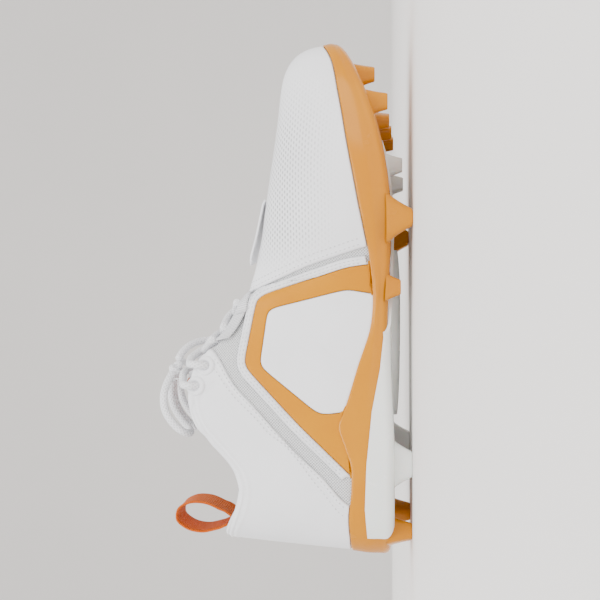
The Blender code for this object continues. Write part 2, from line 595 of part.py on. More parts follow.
def make_insole(parts, look):
    """A flat bed on the plate, inside the upper's wall."""
    mesh = bmesh.new()
    for side in ("lateral", "medial"):
        inner = sole_section(side, U_LEVELS)[1]
        spine = inner[:, 0]
        foot = surface(side, U_LEVELS, np.array([0.0]))[:, 0]
        out = normals(side, U_LEVELS, np.array([0.004]))[:, 0] * np.array([1.0, 1.0, 0.0])
        edge = foot - out * (UPPER_WALL + 3 * GAP)
        rows = []
        for lift in (GAP * 1.5, GAP + INSOLE_THICKNESS):
            layer = [spine + (edge - spine) * share for share in (0.0, 0.60, 1.0)]
            for spot in layer:
                spot[:, 2] = plate_top(spot[:, 0]) + lift
            rows += layer if lift < INSOLE_THICKNESS else layer[::-1]
        loop = np.stack(rows, axis=1)
        grid_faces(mesh, loop if side == "lateral" else loop[::-1])
    return place("insole", mesh, parts, look)


def tongue_rows():
    """Outer face of the tongue: wings under the throat's edges and a low dome between them."""
    u = U_LEVELS[(U_LEVELS > 0.455) & (U_LEVELS < 0.525)][::-1]
    under = -(UPPER_WALL + TONGUE_CLEARANCE)
    wings = np.array([0.82, 0.90, 0.97])
    medial = lifted("medial", u, wings, under)
    lateral = lifted("lateral", u, wings, under)[:, ::-1]
    start = medial[:, -1:]
    end = lateral[:, :1]
    share = np.array([0.17, 0.34, 0.5, 0.66, 0.83])[None, :, None]
    dome = start + (end - start) * share
    rise = np.linalg.norm(end - start, axis=-1, keepdims=True) * TONGUE_DOME
    dome = dome + np.array([-0.55, 0.0, 0.83]) * rise * 4 * share * (1 - share)
    rows = np.concatenate([medial, dome, lateral], axis=1)
    centre = rows.mean(axis=1, keepdims=True)
    rows = (rows - centre) * np.array([1.0, TONGUE_NARROWING, 1.0]) + centre
    last = rows[-1]
    middle = last.mean(axis=0)
    for back, rise, width in TONGUE_TOP:
        row = (last - middle) * np.array([1.0, width, 0.75]) + middle
        row = row + np.array([-back, 0.0, rise])
        rows = np.concatenate([rows, row[None]], axis=0)
    return rows


def make_tongue(parts, look):
    mesh = bmesh.new()
    grid_faces(mesh, tongue_rows())
    made = place("tongue", mesh, parts, look, sheet=True)
    thicken(made, TONGUE_THICKNESS, outward=False)
    return made


def sheet_normals(points):
    """Unit normals of a point grid by central differences."""
    along = np.gradient(points, axis=0)
    across = np.gradient(points, axis=1)
    out = np.cross(across, along)
    return out / np.maximum(1e-12, np.linalg.norm(out, axis=-1, keepdims=True))


def make_shank(parts, cutters, look):
    """White plate: a skin under the outsole, up its side at the heel, with keel and studs."""
    u = U_LEVELS[U_LEVELS < 0.86]
    lateral = sole_section("lateral", u)[0]
    medial = sole_section("medial", u)[0]
    across = np.concatenate([medial[:, :0:-1], lateral], axis=1)
    out = sheet_normals(across)
    if out[len(u) // 2, across.shape[1] // 2, 2] > 0:
        out = -out
    centre = across.shape[1] // 2
    out[:, centre] = out[:, centre + 1]
    back = (out[0] + out[0][::-1]) * np.array([1.0, 0.0, 1.0])
    out[0] = back / np.linalg.norm(back, axis=-1, keepdims=True)
    mesh = bmesh.new()
    near = grid_faces(mesh, across + out * GAP)
    far = grid_faces(mesh, across + out * (GAP + SHANK_THICKNESS))
    last = len(near) - 1
    width = len(near[0]) - 1
    rim = [(i, 0) for i in range(last)] + [(last, j) for j in range(width)]
    rim += [(i, width) for i in range(last, -1, -1)]
    for (a, b), (c, d) in zip(rim, rim[1:]):
        mesh.faces.new([near[a][b], near[c][d], far[c][d], far[a][b]])
    made = place("shank_plate", mesh, parts, look)
    plan = closed_curve(SHANK_OUTLINE, 3)
    cut(made, prism("shank_plan", plan, "Z", *PLAN_CUT, cutters), "INTERSECT")
    side = [(x * LENGTH, z * COLLAR_HEIGHT) for x, z in SHANK_SIDE]
    cut(made, prism("shank_side", side, "Y", *SIDE_CUT, cutters), "INTERSECT")
    scoop = closed_curve(SHANK_SCOOP, 3)
    cut(made, prism("shank_scoop", scoop, "Z", *PLAN_CUT, cutters), "DIFFERENCE")
    for index, rows in enumerate(SHANK_LENSES):
        lens = closed_curve(rows, 3)
        cut(made, prism("shank_lens_%d" % index, lens, "Z", *PLAN_CUT, cutters), "DIFFERENCE")
    cut(made, keel("shank_keel", cutters), "UNION")
    for index, row in enumerate(SHANK_STUDS):
        root = -GAP - SHANK_THICKNESS * 0.5
        cut(made, stud("shank_stud_%d" % index, row, root, cutters), "UNION")
    return made


def overlay(name, u, outline, sides, parts, cutters, look, holes=()):
    """A skin over the upper, cut from two offsets of its function by a side view outline."""
    mesh = open_shell(u, V_LEVELS, OVERLAY_GAP, sides)
    made = place(name, mesh, parts, look, sheet=True)
    thicken(made, SKIN_THICKNESS, outward=True)
    low = -BALL_WIDTH
    high = BALL_WIDTH
    cut(made, prism(name + "_outline", outline, "Y", low, high, cutters), "INTERSECT")
    for hole in holes:
        cut(made, hole, "DIFFERENCE")
    return made


def tube(name, points, radius, parts, look):
    """A round cord along a polyline."""
    curve = bpy.data.curves.new(name, "CURVE")
    curve.dimensions = "3D"
    curve.bevel_depth = radius
    curve.bevel_resolution = 2
    curve.use_fill_caps = True
    spline = curve.splines.new("POLY")
    spline.points.add(len(points) - 1)
    for spot, place_at in zip(spline.points, points):
        spot.co = (*(np.array(place_at) - CENTRE), 1.0)
    made = bpy.data.objects.new(name, curve)
    parts.objects.link(made)
    if look is not None:
        curve.materials.append(look)
    return made


def through(points, spacing):
    """Points at about even spacing on the smooth curve through hand-chosen ones."""
    knots = np.array(points)
    steps = np.linalg.norm(np.diff(knots, axis=0), axis=1)
    travelled = np.concatenate([[0], np.cumsum(steps)])
    count = max(4, int(travelled[-1] / spacing))
    at = np.linspace(0, travelled[-1], count)
    return np.stack([smooth(travelled, knots[:, k], at) for k in range(3)], axis=-1)


def as_mesh(made, parts):
    """Turn a curve object into a mesh object with welded caps."""
    depsgraph = bpy.context.evaluated_depsgraph_get()
    data = bpy.data.meshes.new_from_object(made.evaluated_get(depsgraph))
    name = made.name
    curve = made.data
    world = made.matrix_world.copy()
    bpy.data.objects.remove(made, do_unlink=True)
    bpy.data.curves.remove(curve)
    mesh = bmesh.new()
    mesh.from_mesh(data)
    bmesh.ops.remove_doubles(mesh, verts=mesh.verts, dist=WELD)
    bmesh.ops.recalc_face_normals(mesh, faces=mesh.faces)
    mesh.to_mesh(data)
    mesh.free()
    data.name = name
    meshed = bpy.data.objects.new(name, data)
    meshed.matrix_world = world
    parts.objects.link(meshed)
    return meshed


def eyelet_spots():
    """Each eyelet's place on the upper's outer face, with its normal."""
    found = {}
    for side in SIDES:
        for index, (x, z) in enumerate(EYELETS):
            found[side, index] = find(side, x * LENGTH, z * COLLAR_HEIGHT)
    return found


def eyelet_holes(cutters):
    holes = []
    for (side, index), (spot, normal) in eyelet_spots().items():
        mesh = bmesh.new()
        bmesh.ops.create_cone(mesh, cap_ends=True, segments=12, radius1=EYELET_HOLE, radius2=EYELET_HOLE, depth=0.014)
        turn = Vector(normal).to_track_quat("Z", "Y").to_matrix().to_4x4()
        bmesh.ops.transform(mesh, matrix=Matrix.Translation(Vector(spot)) @ turn, verts=mesh.verts)
        holes.append(as_cutter(place("eyelet_hole_%s_%d" % (side, index), mesh, cutters, None)))
    return holes


def make_eyelets(parts, look):
    """Raised rings on the ankle shell."""
    for (side, index), (spot, normal) in eyelet_spots().items():
        middle = Vector(spot + normal * (GAP + SKIN_THICKNESS + 2 * GAP + EYELET_WIRE))
        turn = Vector(normal).to_track_quat("Z", "Y").to_matrix().to_4x4()
        mesh = bmesh.new()
        angles = np.arange(12) * math.tau / 12
        wire = np.arange(5) * math.tau / 5
        rows = []
        for angle in angles:
            reach = EYELET_RADIUS + EYELET_WIRE * np.cos(wire)
            ring = [mesh.verts.new((r * math.cos(angle), r * math.sin(angle), h))
                    for r, h in zip(reach, EYELET_WIRE * np.sin(wire))]
            rows.append(ring)
        for i in range(12):
            for j in range(5):
                after = rows[(i + 1) % 12]
                mesh.faces.new([rows[i][j], after[j], after[(j + 1) % 5], rows[i][(j + 1) % 5]])
        bmesh.ops.transform(mesh, matrix=Matrix.Translation(middle) @ turn, verts=mesh.verts)
        place("eyelet_%s_%d" % (side, index + 1), mesh, parts, look)


def make_webbing(parts, look):
    """Flat strips along the throat, hung over its edge, that the lace runs over."""
    for side in SIDES:
        for label, (start, end) in WEBBING_STRIPS.items():
            u = np.linspace(start, end, 3)
            rows = lifted(side, u, np.array([WEBBING_FOOT, 0.90, 1.0]), WEBBING_LIFT)
            step = rows[:, -1] - rows[:, -2]
            step = step / np.linalg.norm(step, axis=-1, keepdims=True)
            rows = np.concatenate([rows, (rows[:, -1] + step * WEBBING_OVERHANG)[:, None]], axis=1)
            if side == "medial":
                rows = rows[::-1]
            mesh = bmesh.new()
            grid_faces(mesh, rows[:, ::-1][::-1])
            made = place("webbing_%s_%s" % (label, side), mesh, parts, look, sheet=True)
            thicken(made, WEBBING, outward=True)


def make_ridge_band(parts, look):
    u = np.linspace(RIDGE_BAND["rear"], RIDGE_BAND["front"], 7)
    share = ((RIDGE_BAND["front"] - u) / (RIDGE_BAND["front"] - RIDGE_BAND["rear"]))[:, None, None]
    lift = SKIN_THICKNESS + 3 * GAP + RIDGE_BAND["lift"] * share ** 1.2
    v = np.array([RIDGE_BAND["foot"], 0.94, 1.0])
    mesh = bmesh.new()
    for side in SIDES:
        rows = surface(side, u, v) + normals(side, u, v) * lift
        grid_faces(mesh, rows if side == "lateral" else rows[::-1])
    made = place("vamp_loop", mesh, parts, look, sheet=True)
    thicken(made, RIDGE_BAND["thickness"], outward=True)


def make_pull_loop(parts, look):
    """A band of webbing standing in a loop on the inside of the heel."""
    foot = surface("lateral", np.array([0.0]), np.array([1.0]))[0, 0]
    route = [(foot[0] + UPPER_WALL + a * LOOP_WIDTH, 0.0, foot[2] + b * LOOP_HEIGHT) for a, b in HEEL_LOOP]
    line = through(route, LOOP_STEP)
    line[:, 1] = 0
    along = np.gradient(line, axis=0)
    side = np.stack([-along[:, 2], along[:, 1] * 0, along[:, 0]], axis=-1)
    side = side / np.linalg.norm(side, axis=-1, keepdims=True)
    width = np.linspace(-0.5, 0.5, 3)
    rings = []
    for spot, out in zip(line, side):
        bow = LOOP_BOW if spot[2] < foot[2] + LOOP_FOOT else 0.0
        ring = []
        for face in (0.5, -0.5):
            x = spot[0] + out[0] * face * WEBBING
            z = spot[2] + out[2] * face * WEBBING
            order = width if face > 0 else width[::-1]
            ring += [(x + bow * (2 * w) ** 2, w * LOOP_WIDTH, z) for w in order]
        rings.append(ring)
    mesh = bmesh.new()
    loft_frustum(mesh, rings)
    return place("pull_loop", mesh, parts, look)


def lace_edge(side, u):
    """A point on the lace where it lies on the throat's edge."""
    lift = WEBBING_LIFT + WEBBING + 2 * GAP + LACE_RADIUS
    return lifted(side, np.array([u]), np.array([0.97]), lift)[0, 0]


def make_laces(parts, cutters, look):
    """Crossings over the tongue, joined; the knot, loops and ends lie free on top."""
    spots = eyelet_spots()
    strands = []
    first = [lace_edge("medial", LACE_ROWS[0]), lace_edge("lateral", LACE_ROWS[0])]
    strands.append([first[0], (first[0] + first[1]) / 2 + np.array([-0.001, 0, 0.0012]), first[1]])
    ends = [("medial", "lateral"), ("lateral", "medial")]
    for start, end in ends:
        for a, b in zip(LACE_ROWS[:-1], LACE_ROWS[1:]):
            low = lace_edge(start, a)
            high = lace_edge(end, b)
            strands.append([low, (low + high) / 2 + np.array([-0.001, 0, 0.0015]), high])
    brows = {}
    for side, index in spots:
        u = np.interp(EYELETS[index][0] * LENGTH, station("head", U_LEVELS) * LENGTH, U_LEVELS)
        brows[side, index] = surface(side, np.array([u]), np.array([1.0]))[0, 0] + np.array(LACE_BROW)
    rims = {key: brow + np.array([0.0, SIDES[key[0]] * LACE_OVER_EDGE, 0.0]) for key, brow in brows.items()}
    crests = {key: brow * np.array([1.0, 0.60, 1.0]) + np.array(LACE_CRESTS[key[1]]) for key, brow in brows.items()}
    for start, end in ends:
        low = lace_edge(start, LACE_ROWS[-1])
        middle = (low + crests[end, 0]) / 2 + np.array([-0.0010, 0.0, 0.0015])
        strands.append([low, middle, crests[end, 0], brows[end, 0], rims[end, 0]])
    meshed = []
    for index, points in enumerate(strands):
        name = "lace_crossings" if index == 0 else "lace_strand_%d" % index
        made = tube(name, through(points, LACE_STEP), LACE_RADIUS, parts if index == 0 else cutters, look)
        meshed.append(as_mesh(made, parts if index == 0 else cutters))
    for strand in meshed[1:]:
        cut(meshed[0], as_cutter(strand), "UNION")
    middle = (crests["medial", 1] + crests["lateral", 1]) / 2 + np.array([0.0015, 0.0, 0.0010])
    top = [rims["medial", 1], brows["medial", 1], crests["medial", 1], middle,
           crests["lateral", 1], brows["lateral", 1], rims["lateral", 1]]
    tube("lace_top", through(top, LACE_STEP), LACE_RADIUS, parts, look)
    for name, points in LACE_ROUTES.items():
        tube(name, through(points, LACE_STEP), LACE_RADIUS, parts, look)
    mesh = bmesh.new()
    bmesh.ops.create_uvsphere(mesh, u_segments=10, v_segments=7, radius=1.0)
    bmesh.ops.scale(mesh, vec=LACE_KNOT["size"], verts=mesh.verts)
    bmesh.ops.translate(mesh, vec=LACE_KNOT["at"], verts=mesh.verts)
    place("lace_knot", mesh, parts, look)


def main():
    for item in list(bpy.data.objects):
        bpy.data.objects.remove(item, do_unlink=True)
    parts = bpy.data.collections.new("football_cleat")
    cutters = bpy.data.collections.new("cutters")
    bpy.context.scene.collection.children.link(parts)
    bpy.context.scene.collection.children.link(cutters)
    white = material("white_synthetic", WHITE, 0.5)
    amber = material("amber_plastic", AMBER, 0.22)
    plate_white = material("white_plastic", PLATE_WHITE, 0.2)
    orange = material("orange_webbing", RED_ORANGE, 0.7)
    holes = eyelet_holes(cutters)
    make_upper(parts, material("knit", MESH_GREY, 0.8), holes)
    make_tongue(parts, white)
    make_insole(parts, white)
    make_outsole(parts, cutters, amber)
    make_shank(parts, cutters, plate_white)
    front = U_LEVELS[U_LEVELS > 0.49]
    middle = U_LEVELS[(U_LEVELS > 0.22) & (U_LEVELS < 0.62)]
    back = U_LEVELS[U_LEVELS < 0.50]
    overlay("vamp", front, side_outline(VAMP_OUTLINE), tuple(SIDES), parts, cutters, white)
    overlay("ankle_shell", back, side_outline(SHELL_OUTLINE), tuple(SIDES), parts, cutters, white, holes)
    frame_outline = side_outline(FRAME_OUTLINE)
    pane_outline = side_outline(PANE_OUTLINE)
    for side in SIDES:
        window = side_outline(PANE_OUTLINE, drop=WINDOW_DROP)
        window = prism("pane_window_" + side, window, "Y", -BALL_WIDTH, BALL_WIDTH, cutters)
        overlay("quarter_frame_" + side, middle, frame_outline, (side,), parts, cutters, amber, [window])
        pane = shrink(pane_outline, GAP * 1.5)
        overlay("quarter_pane_" + side, middle, pane, (side,), parts, cutters, white)
    make_eyelets(parts, white)
    make_webbing(parts, white)
    make_ridge_band(parts, white)
    make_pull_loop(parts, orange)
    make_laces(parts, cutters, white)


main()
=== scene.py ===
"""Looks of an american football cleat, laid out as a Blender add-on and run as a script.

Every new piece is a surface worked out with numpy: a function of two parameters on a grid,
or a section carried along a path. Lengths in the functions run from the back of the heel cup;
made() shifts each mesh into the frame's coordinates.
"""

import math

import bmesh
import bpy
import numpy as np
from mathutils import Matrix, Vector


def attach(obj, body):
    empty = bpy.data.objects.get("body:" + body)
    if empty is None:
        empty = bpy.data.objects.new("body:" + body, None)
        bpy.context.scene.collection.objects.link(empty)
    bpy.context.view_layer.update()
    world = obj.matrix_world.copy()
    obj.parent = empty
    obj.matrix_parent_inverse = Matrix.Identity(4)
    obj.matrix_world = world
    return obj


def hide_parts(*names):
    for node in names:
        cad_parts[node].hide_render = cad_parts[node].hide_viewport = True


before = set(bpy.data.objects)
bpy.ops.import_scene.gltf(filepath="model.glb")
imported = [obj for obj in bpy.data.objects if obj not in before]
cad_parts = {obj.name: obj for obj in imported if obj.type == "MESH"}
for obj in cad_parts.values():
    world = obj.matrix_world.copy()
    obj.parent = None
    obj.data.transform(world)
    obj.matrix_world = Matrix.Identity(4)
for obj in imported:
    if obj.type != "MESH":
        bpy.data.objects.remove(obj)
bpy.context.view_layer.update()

bl_info = {
    "name": "Football Cleat",
    "version": (1, 0, 0),
    "blender": (4, 5, 0),
    "location": "View3D > Sidebar > Cleat",
    "description": "Builds the visible pieces of a mid-cut football cleat",
    "category": "Add Mesh",
}

BODY = "root"
SHIFT = np.array([0.1525, 0.00096555, 0.0])

# Sizes of the last and the sole, the same as the solids were made with
LENGTH = 0.305
BALL_WIDTH = 0.103
HEEL_HEIGHT = 0.1105
COLLAR_HEIGHT = 0.1310
INSTEP_HEIGHT = 0.1015
TOE_HEIGHT = 0.0765
STUD_HEIGHT = 0.012
PLATE_THICKNESS = 0.004
ARCH_RISE = 0.002
TOE_SPRING = 0.030
RAND_HEIGHT = 0.0255
RAND_THICKNESS = 0.0020
UPPER_WALL = 0.0020
TONGUE_THICKNESS = 0.0035
SHANK_THICKNESS = 0.0016
STUD_LENGTH = 0.015
STUD_WIDTH = 0.012
LACE_RADIUS = 0.0023
EYELET_RADIUS = 0.0044
LOOP_WIDTH = 0.020
LOOP_HEIGHT = 0.034
WEBBING = 0.0014
GAP = 0.0003
OVERLAY_TOP = 0.0017
TUCK = 0.0008
RAND_CLEARANCE = 0.0009
CORNER_REACH = 0.0052
CORNER_RISE = 0.0036
RAND_SWELL = 0.00045
SHANK_END = 0.87
SHANK_COLUMNS = 26
INSOLE_TOP = 0.0043
INSOLE_CUP = 0.0012
BAND_START = 0.578
BAND_END = 0.668
TAB_WIDTH = 0.013
TAB_LENGTH = 0.018
TAB_BOW = (0.0030, 0.0012)
WELD = 2e-5

# Trim: widths, pitches and the size of one stitch
PIPING_WIDTH = 0.0052
PIPING_PITCH = 0.0026
PIPING_ROWS = (0.30, 0.66)
PIPING_POINTS = 240
SEAM_PITCH = 0.0027
STITCH_LENGTH = 0.0019
STITCH_RADIUS = 0.00034
LACE_STEP = 0.0012
DOT_PITCH = (0.0032, 0.0021)
KNIT_PITCH = 0.0017
RIB_PITCH = 0.0013
THREAD_PITCH = 0.0009
BRAID_PITCH = 0.0024
FRAME_STEPS = 34
FRAME_SOFTNESS = 3

# Walls of the skins: thickness and the side of the surface that it lies on
SKIN_WALL = (0.0008, -1.0)
FILM_WALL = (0.0007, -1.0)

# Rolled borders: radius and depth
BORDER_ROLL = (0.0016, 0.0014)
RAND_ROLL = (0.0012, 0.0010)
COLLAR_ROLL = (0.0016, 0.0012)

# Raised lines and grooves: distance from an edge, width and height
EDGE_BEAD = (0.0, 0.0025, 0.0004)
VAMP_SEAM = (0.0045, 0.0005, -0.00025)
SLOT_CUT = (0.0, 0.0007, -0.0011)
COLLAR_BEADS = ((0.0026, 0.0014, 0.0006), (0.0062, 0.0012, 0.0004))
GROOVE_CUTS = ((0.0, 0.0008, -0.0009), (0.0024, 0.0006, -0.0003))
FRONT_SEAMS = ((0.0052, 0.0006, -0.0004),)
BALL_AT = 0.64
THROAT_FRONT = 0.532
THROAT_REAR = 0.36
SPINE_START = 0.09
SPINE_END = 0.885
TIP_SIDE = -0.10
SIDES = {"lateral": 1, "medial": -1}
SIZE_OF = {"heel": HEEL_HEIGHT, "collar": COLLAR_HEIGHT, "instep": INSTEP_HEIGHT, "toe": TOE_HEIGHT}

# Sections of the last: place round the foot, half widths of the sole, the head's place along,
# its centre and half opening, the size that its height follows and the share, bows and waist
COLUMNS = ("u", "medial", "lateral", "head", "middle", "opening", "size", "height",
           "medial_bow", "lateral_bow", "waist")
STATIONS = (
    (0.000, 0.000, 0.000, 0.030, 0.00, 0.000, "heel", 1.000, 1.75, 1.75, 0.000),
    (0.050, 0.115, 0.118, 0.035, 0.00, 0.105, "heel", 1.000, 1.75, 1.75, 0.003),
    (0.100, 0.205, 0.210, 0.050, 0.00, 0.200, "heel", 0.992, 1.75, 1.75, 0.006),
    (0.150, 0.280, 0.288, 0.073, 0.00, 0.262, "heel", 0.962, 1.75, 1.75, 0.010),
    (0.200, 0.335, 0.345, 0.102, 0.00, 0.300, "heel", 0.925, 1.72, 1.72, 0.014),
    (0.250, 0.358, 0.370, 0.141, 0.00, 0.315, "heel", 0.905, 1.70, 1.70, 0.016),
    (0.300, 0.355, 0.375, 0.181, 0.00, 0.312, "heel", 0.945, 1.65, 1.65, 0.014),
    (0.350, 0.336, 0.378, 0.231, -0.01, 0.285, "collar", 0.908, 1.60, 1.60, 0.008),
    (0.380, 0.322, 0.382, 0.263, -0.02, 0.260, "collar", 0.973, 1.55, 1.55, 0.004),
    (0.400, 0.315, 0.386, 0.295, -0.02, 0.235, "collar", 1.000, 1.50, 1.52, 0.000),
    (0.430, 0.308, 0.393, 0.341, -0.03, 0.198, "collar", 0.996, 1.42, 1.46, 0.000),
    (0.450, 0.306, 0.398, 0.377, -0.03, 0.175, "collar", 0.966, 1.36, 1.42, 0.000),
    (0.465, 0.307, 0.404, 0.400, -0.035, 0.160, "collar", 0.905, 1.32, 1.38, 0.000),
    (0.485, 0.311, 0.412, 0.430, -0.04, 0.148, "instep", 1.075, 1.27, 1.34, 0.000),
    (0.500, 0.317, 0.420, 0.462, -0.045, 0.134, "instep", 1.015, 1.22, 1.30, 0.000),
    (0.518, 0.332, 0.434, 0.485, -0.05, 0.112, "instep", 0.985, 1.17, 1.26, 0.000),
    (0.532, 0.345, 0.446, 0.502, -0.055, 0.000, "instep", 0.968, 1.13, 1.22, 0.000),
    (0.570, 0.388, 0.474, 0.554, -0.065, 0.000, "instep", 0.915, 1.04, 1.15, 0.000),
    (0.600, 0.432, 0.492, 0.600, -0.07, 0.000, "instep", 0.882, 0.98, 1.10, 0.000),
    (0.650, 0.472, 0.490, 0.665, -0.08, 0.000, "instep", 0.850, 0.93, 1.06, 0.000),
    (0.700, 0.474, 0.458, 0.722, -0.085, 0.000, "instep", 0.822, 0.88, 1.02, 0.000),
    (0.750, 0.452, 0.410, 0.770, -0.09, 0.000, "toe", 1.057, 0.84, 0.96, 0.000),
    (0.800, 0.418, 0.348, 0.810, -0.09, 0.000, "toe", 1.030, 0.80, 0.89, 0.000),
    (0.850, 0.366, 0.268, 0.840, -0.09, 0.000, "toe", 1.014, 0.76, 0.82, 0.000),
    (0.900, 0.300, 0.166, 0.860, -0.09, 0.000, "toe", 1.004, 0.72, 0.75, 0.000),
    (0.950, 0.212, 0.040, 0.872, -0.09, 0.000, "toe", 0.998, 0.69, 0.70, 0.000),
    (1.000, 0.100, -0.100, 0.876, -0.09, 0.000, "toe", 0.995, 0.67, 0.67, 0.000),
)
STATION = {name: [row[i] for row in STATIONS] for i, name in enumerate(COLUMNS)}
STATION["rise"] = [SIZE_OF[size] * share for size, share in zip(STATION["size"], STATION["height"])]

# Top edge of the rand: x as a share of the length, rise as a share of the rand's height
RAND_X = (-0.02, 0.045, 0.085, 0.150, 0.192, 0.235, 0.268, 0.301, 0.371, 0.452, 0.497, 0.580,
          0.685, 0.786, 0.875, 0.960, 1.000, 1.020)
RAND_RISE = (0.75, 0.76, 0.78, 0.72, 0.735, 0.90, 1.00, 0.83, 0.53, 0.22, 0.19, 0.31,
             0.54, 0.59, 0.47, 0.29, 0.30, 0.31)

# Side view outlines: x as a share of the length, z as a share of the collar height
FRAME_PATH = ((0.572, 0.06), (0.560, 0.285), (0.504, 0.690), (0.373, 0.748), (0.262, 0.495), (0.165, 0.25))
PANE_PATH = ((0.503, 0.06), (0.519, 0.285), (0.481, 0.640), (0.372, 0.675), (0.281, 0.402), (0.303, 0.06))
VAMP_REAR = ((0.603, 0.06), (0.597, 0.20), (0.563, 0.455), (0.506, 0.775), (0.500, 0.95))
VAMP_SLOT = ((0.1653, 0.0707), (0.1713, 0.0482))
SHELL_FRONT = ((0.105, 0.06), (0.112, 0.290), (0.160, 0.372), (0.214, 0.520), (0.312, 0.735),
               (0.333, 0.797), (0.366, 0.840), (0.408, 0.878), (0.412, 1.20))
SHELL_GROOVE = ((0.342, 0.872), (0.291, 0.990), (0.222, 0.901), (0.161, 0.783), (0.127, 0.750),
                (0.036, 0.833))

# Stitched edges: outline, whether the sheet runs to the toe, distances of the rows from the edge
SEAM_ROWS = ((VAMP_REAR, True, (0.0028, 0.0062)), (SHELL_FRONT, False, (0.0026, 0.0078)))

# Rings of the pane, from its middle point to its outline
PANE_RINGS = (0.0, 0.12, 0.25, 0.4, 0.55, 0.7, 0.82, 0.90, 0.94, 0.965, 0.985, 0.995)

# The white plate: shares of the length and of the ball width, as closed curves
SHANK_OUTLINE = ((0.812, -0.11), (0.780, -0.19), (0.745, -0.21), (0.700, -0.18), (0.640, -0.15),
                 (0.590, -0.18), (0.500, -0.24), (0.440, -0.31), (0.385, -0.50), (0.200, -0.55),
                 (-0.03, -0.50), (-0.03, 0.50),
                 (0.200, 0.55), (0.385, 0.52), (0.440, 0.39), (0.500, 0.31), (0.590, 0.22),
                 (0.640, 0.19), (0.700, 0.21), (0.745, 0.26), (0.775, 0.24), (0.790, 0.15), (0.770, 0.03))
SHANK_SCOOP = ((-0.06, -0.23), (0.030, -0.30), (0.085, -0.27), (0.125, -0.17), (0.155, -0.07), (0.160, 0.0),
               (0.155, 0.07), (0.125, 0.18), (0.085, 0.28), (0.030, 0.31), (-0.06, 0.24))
SHANK_LENSES = (((0.735, -0.13), (0.690, -0.12), (0.625, -0.06), (0.690, -0.055), (0.735, -0.09)),
                ((0.725, 0.06), (0.670, 0.04), (0.610, 0.07), (0.660, 0.125), (0.715, 0.13)))
SHANK_SIDE = ((0.045, 0.00), (0.030, 0.14), (0.050, 0.195), (0.112, 0.205), (0.193, 0.198), (0.292, 0.175),
              (0.370, 0.140), (0.430, 0.125), (0.85, 0.230), (0.85, -0.02), (0.045, -0.02))
KEEL = {"start": 0.27, "end": 0.60, "y": 0.03, "width": 0.20, "depth": 0.42}

# Studs: place, foot and tip as shares of the stud sizes, share of the height, turn in degrees
STUD_COLUMNS = ("x", "y", "long", "wide", "tip_long", "tip_wide", "height", "turn")
AMBER_STUDS = (
    (0.930, -0.235, 0.90, 1.00, 0.55, 0.70, 0.85, -20),
    (0.915, 0.130, 0.90, 1.00, 0.55, 0.70, 0.85, 24),
    (0.868, -0.335, 0.95, 0.95, 0.60, 0.60, 0.85, -14),
    (0.838, 0.285, 0.95, 0.95, 0.60, 0.60, 0.85, 20),
    (0.852, -0.100, 0.75, 0.80, 0.50, 0.60, 0.80, -35),
    (0.838, 0.020, 0.75, 0.80, 0.50, 0.60, 0.80, -35),
    (0.824, 0.135, 0.75, 0.80, 0.50, 0.60, 0.80, -35),
    (0.648, -0.405, 1.70, 1.05, 0.62, 0.70, 1.00, -4),
    (0.636, 0.415, 1.70, 1.05, 0.62, 0.70, 1.00, 6),
    (0.522, -0.315, 1.00, 0.55, 0.55, 0.40, 0.55, 8),
    (0.540, 0.395, 1.00, 0.65, 0.55, 0.45, 0.55, -8),
    (0.056, -0.175, 1.05, 1.20, 0.62, 0.75, 1.00, 26),
    (0.062, 0.185, 1.05, 1.20, 0.62, 0.75, 1.00, -26),
)
WHITE_STUDS = (
    (0.763, -0.110, 0.95, 0.75, 0.55, 0.45, 0.86, -12),
    (0.742, 0.185, 0.95, 0.75, 0.55, 0.45, 0.86, 14),
    (0.190, -0.255, 1.75, 0.85, 0.95, 0.42, 1.00, 6),
    (0.200, 0.270, 1.75, 0.85, 0.95, 0.42, 1.00, -6),
)

# Wall of a stud from foot to tip: share of the way from the tip's size to the foot's, share of the depth
STUD_PROFILE = ((1.20, -0.10), (1.06, 0.03), (0.96, 0.10), (0.78, 0.22), (0.55, 0.42), (0.32, 0.64),
                (0.14, 0.84), (0.08, 0.915), (0.03, 0.955), (-0.06, 0.985), (-0.16, 1.0))
STUD_SIDES = 32
STUD_ROUNDNESS = 0.55

EYELETS = ((0.3700, 0.925), (0.3310, 0.968))
WEBBING_STRIPS = {"front": (0.502, 0.527), "rear": (0.474, 0.499)}
TONGUE_TOP = ((0.0015, 0.0005, 0.66), (0.0085, 0.0074, 0.64), (0.0135, 0.0145, 0.62), (0.0165, 0.0205, 0.60))
TAB_ROUTE = ((0.0016, -0.0060), (0.0010, -0.0020), (-0.0004, 0.0012), (-0.0030, 0.0016), (-0.0050, -0.0010),
             (-0.0052, -0.0050))
HEEL_LOOP = ((0.20, -0.42), (0.14, -0.10), (0.02, 0.18), (-0.10, 0.52), (0.02, 0.82), (0.28, 0.99),
             (0.62, 0.97), (0.86, 0.76), (0.88, 0.44), (0.66, 0.12), (0.42, -0.10), (0.33, -0.42))
LACE_ROWS = (0.519, 0.488, 0.470)
LACE_CRESTS = ((0.0025, 0.0, 0.0015), (0.0050, 0.0, 0.0026))
LACE_KNOT = {"at": (0.1088, -0.0035, 0.1453), "size": (0.0055, 0.0070, 0.0038)}
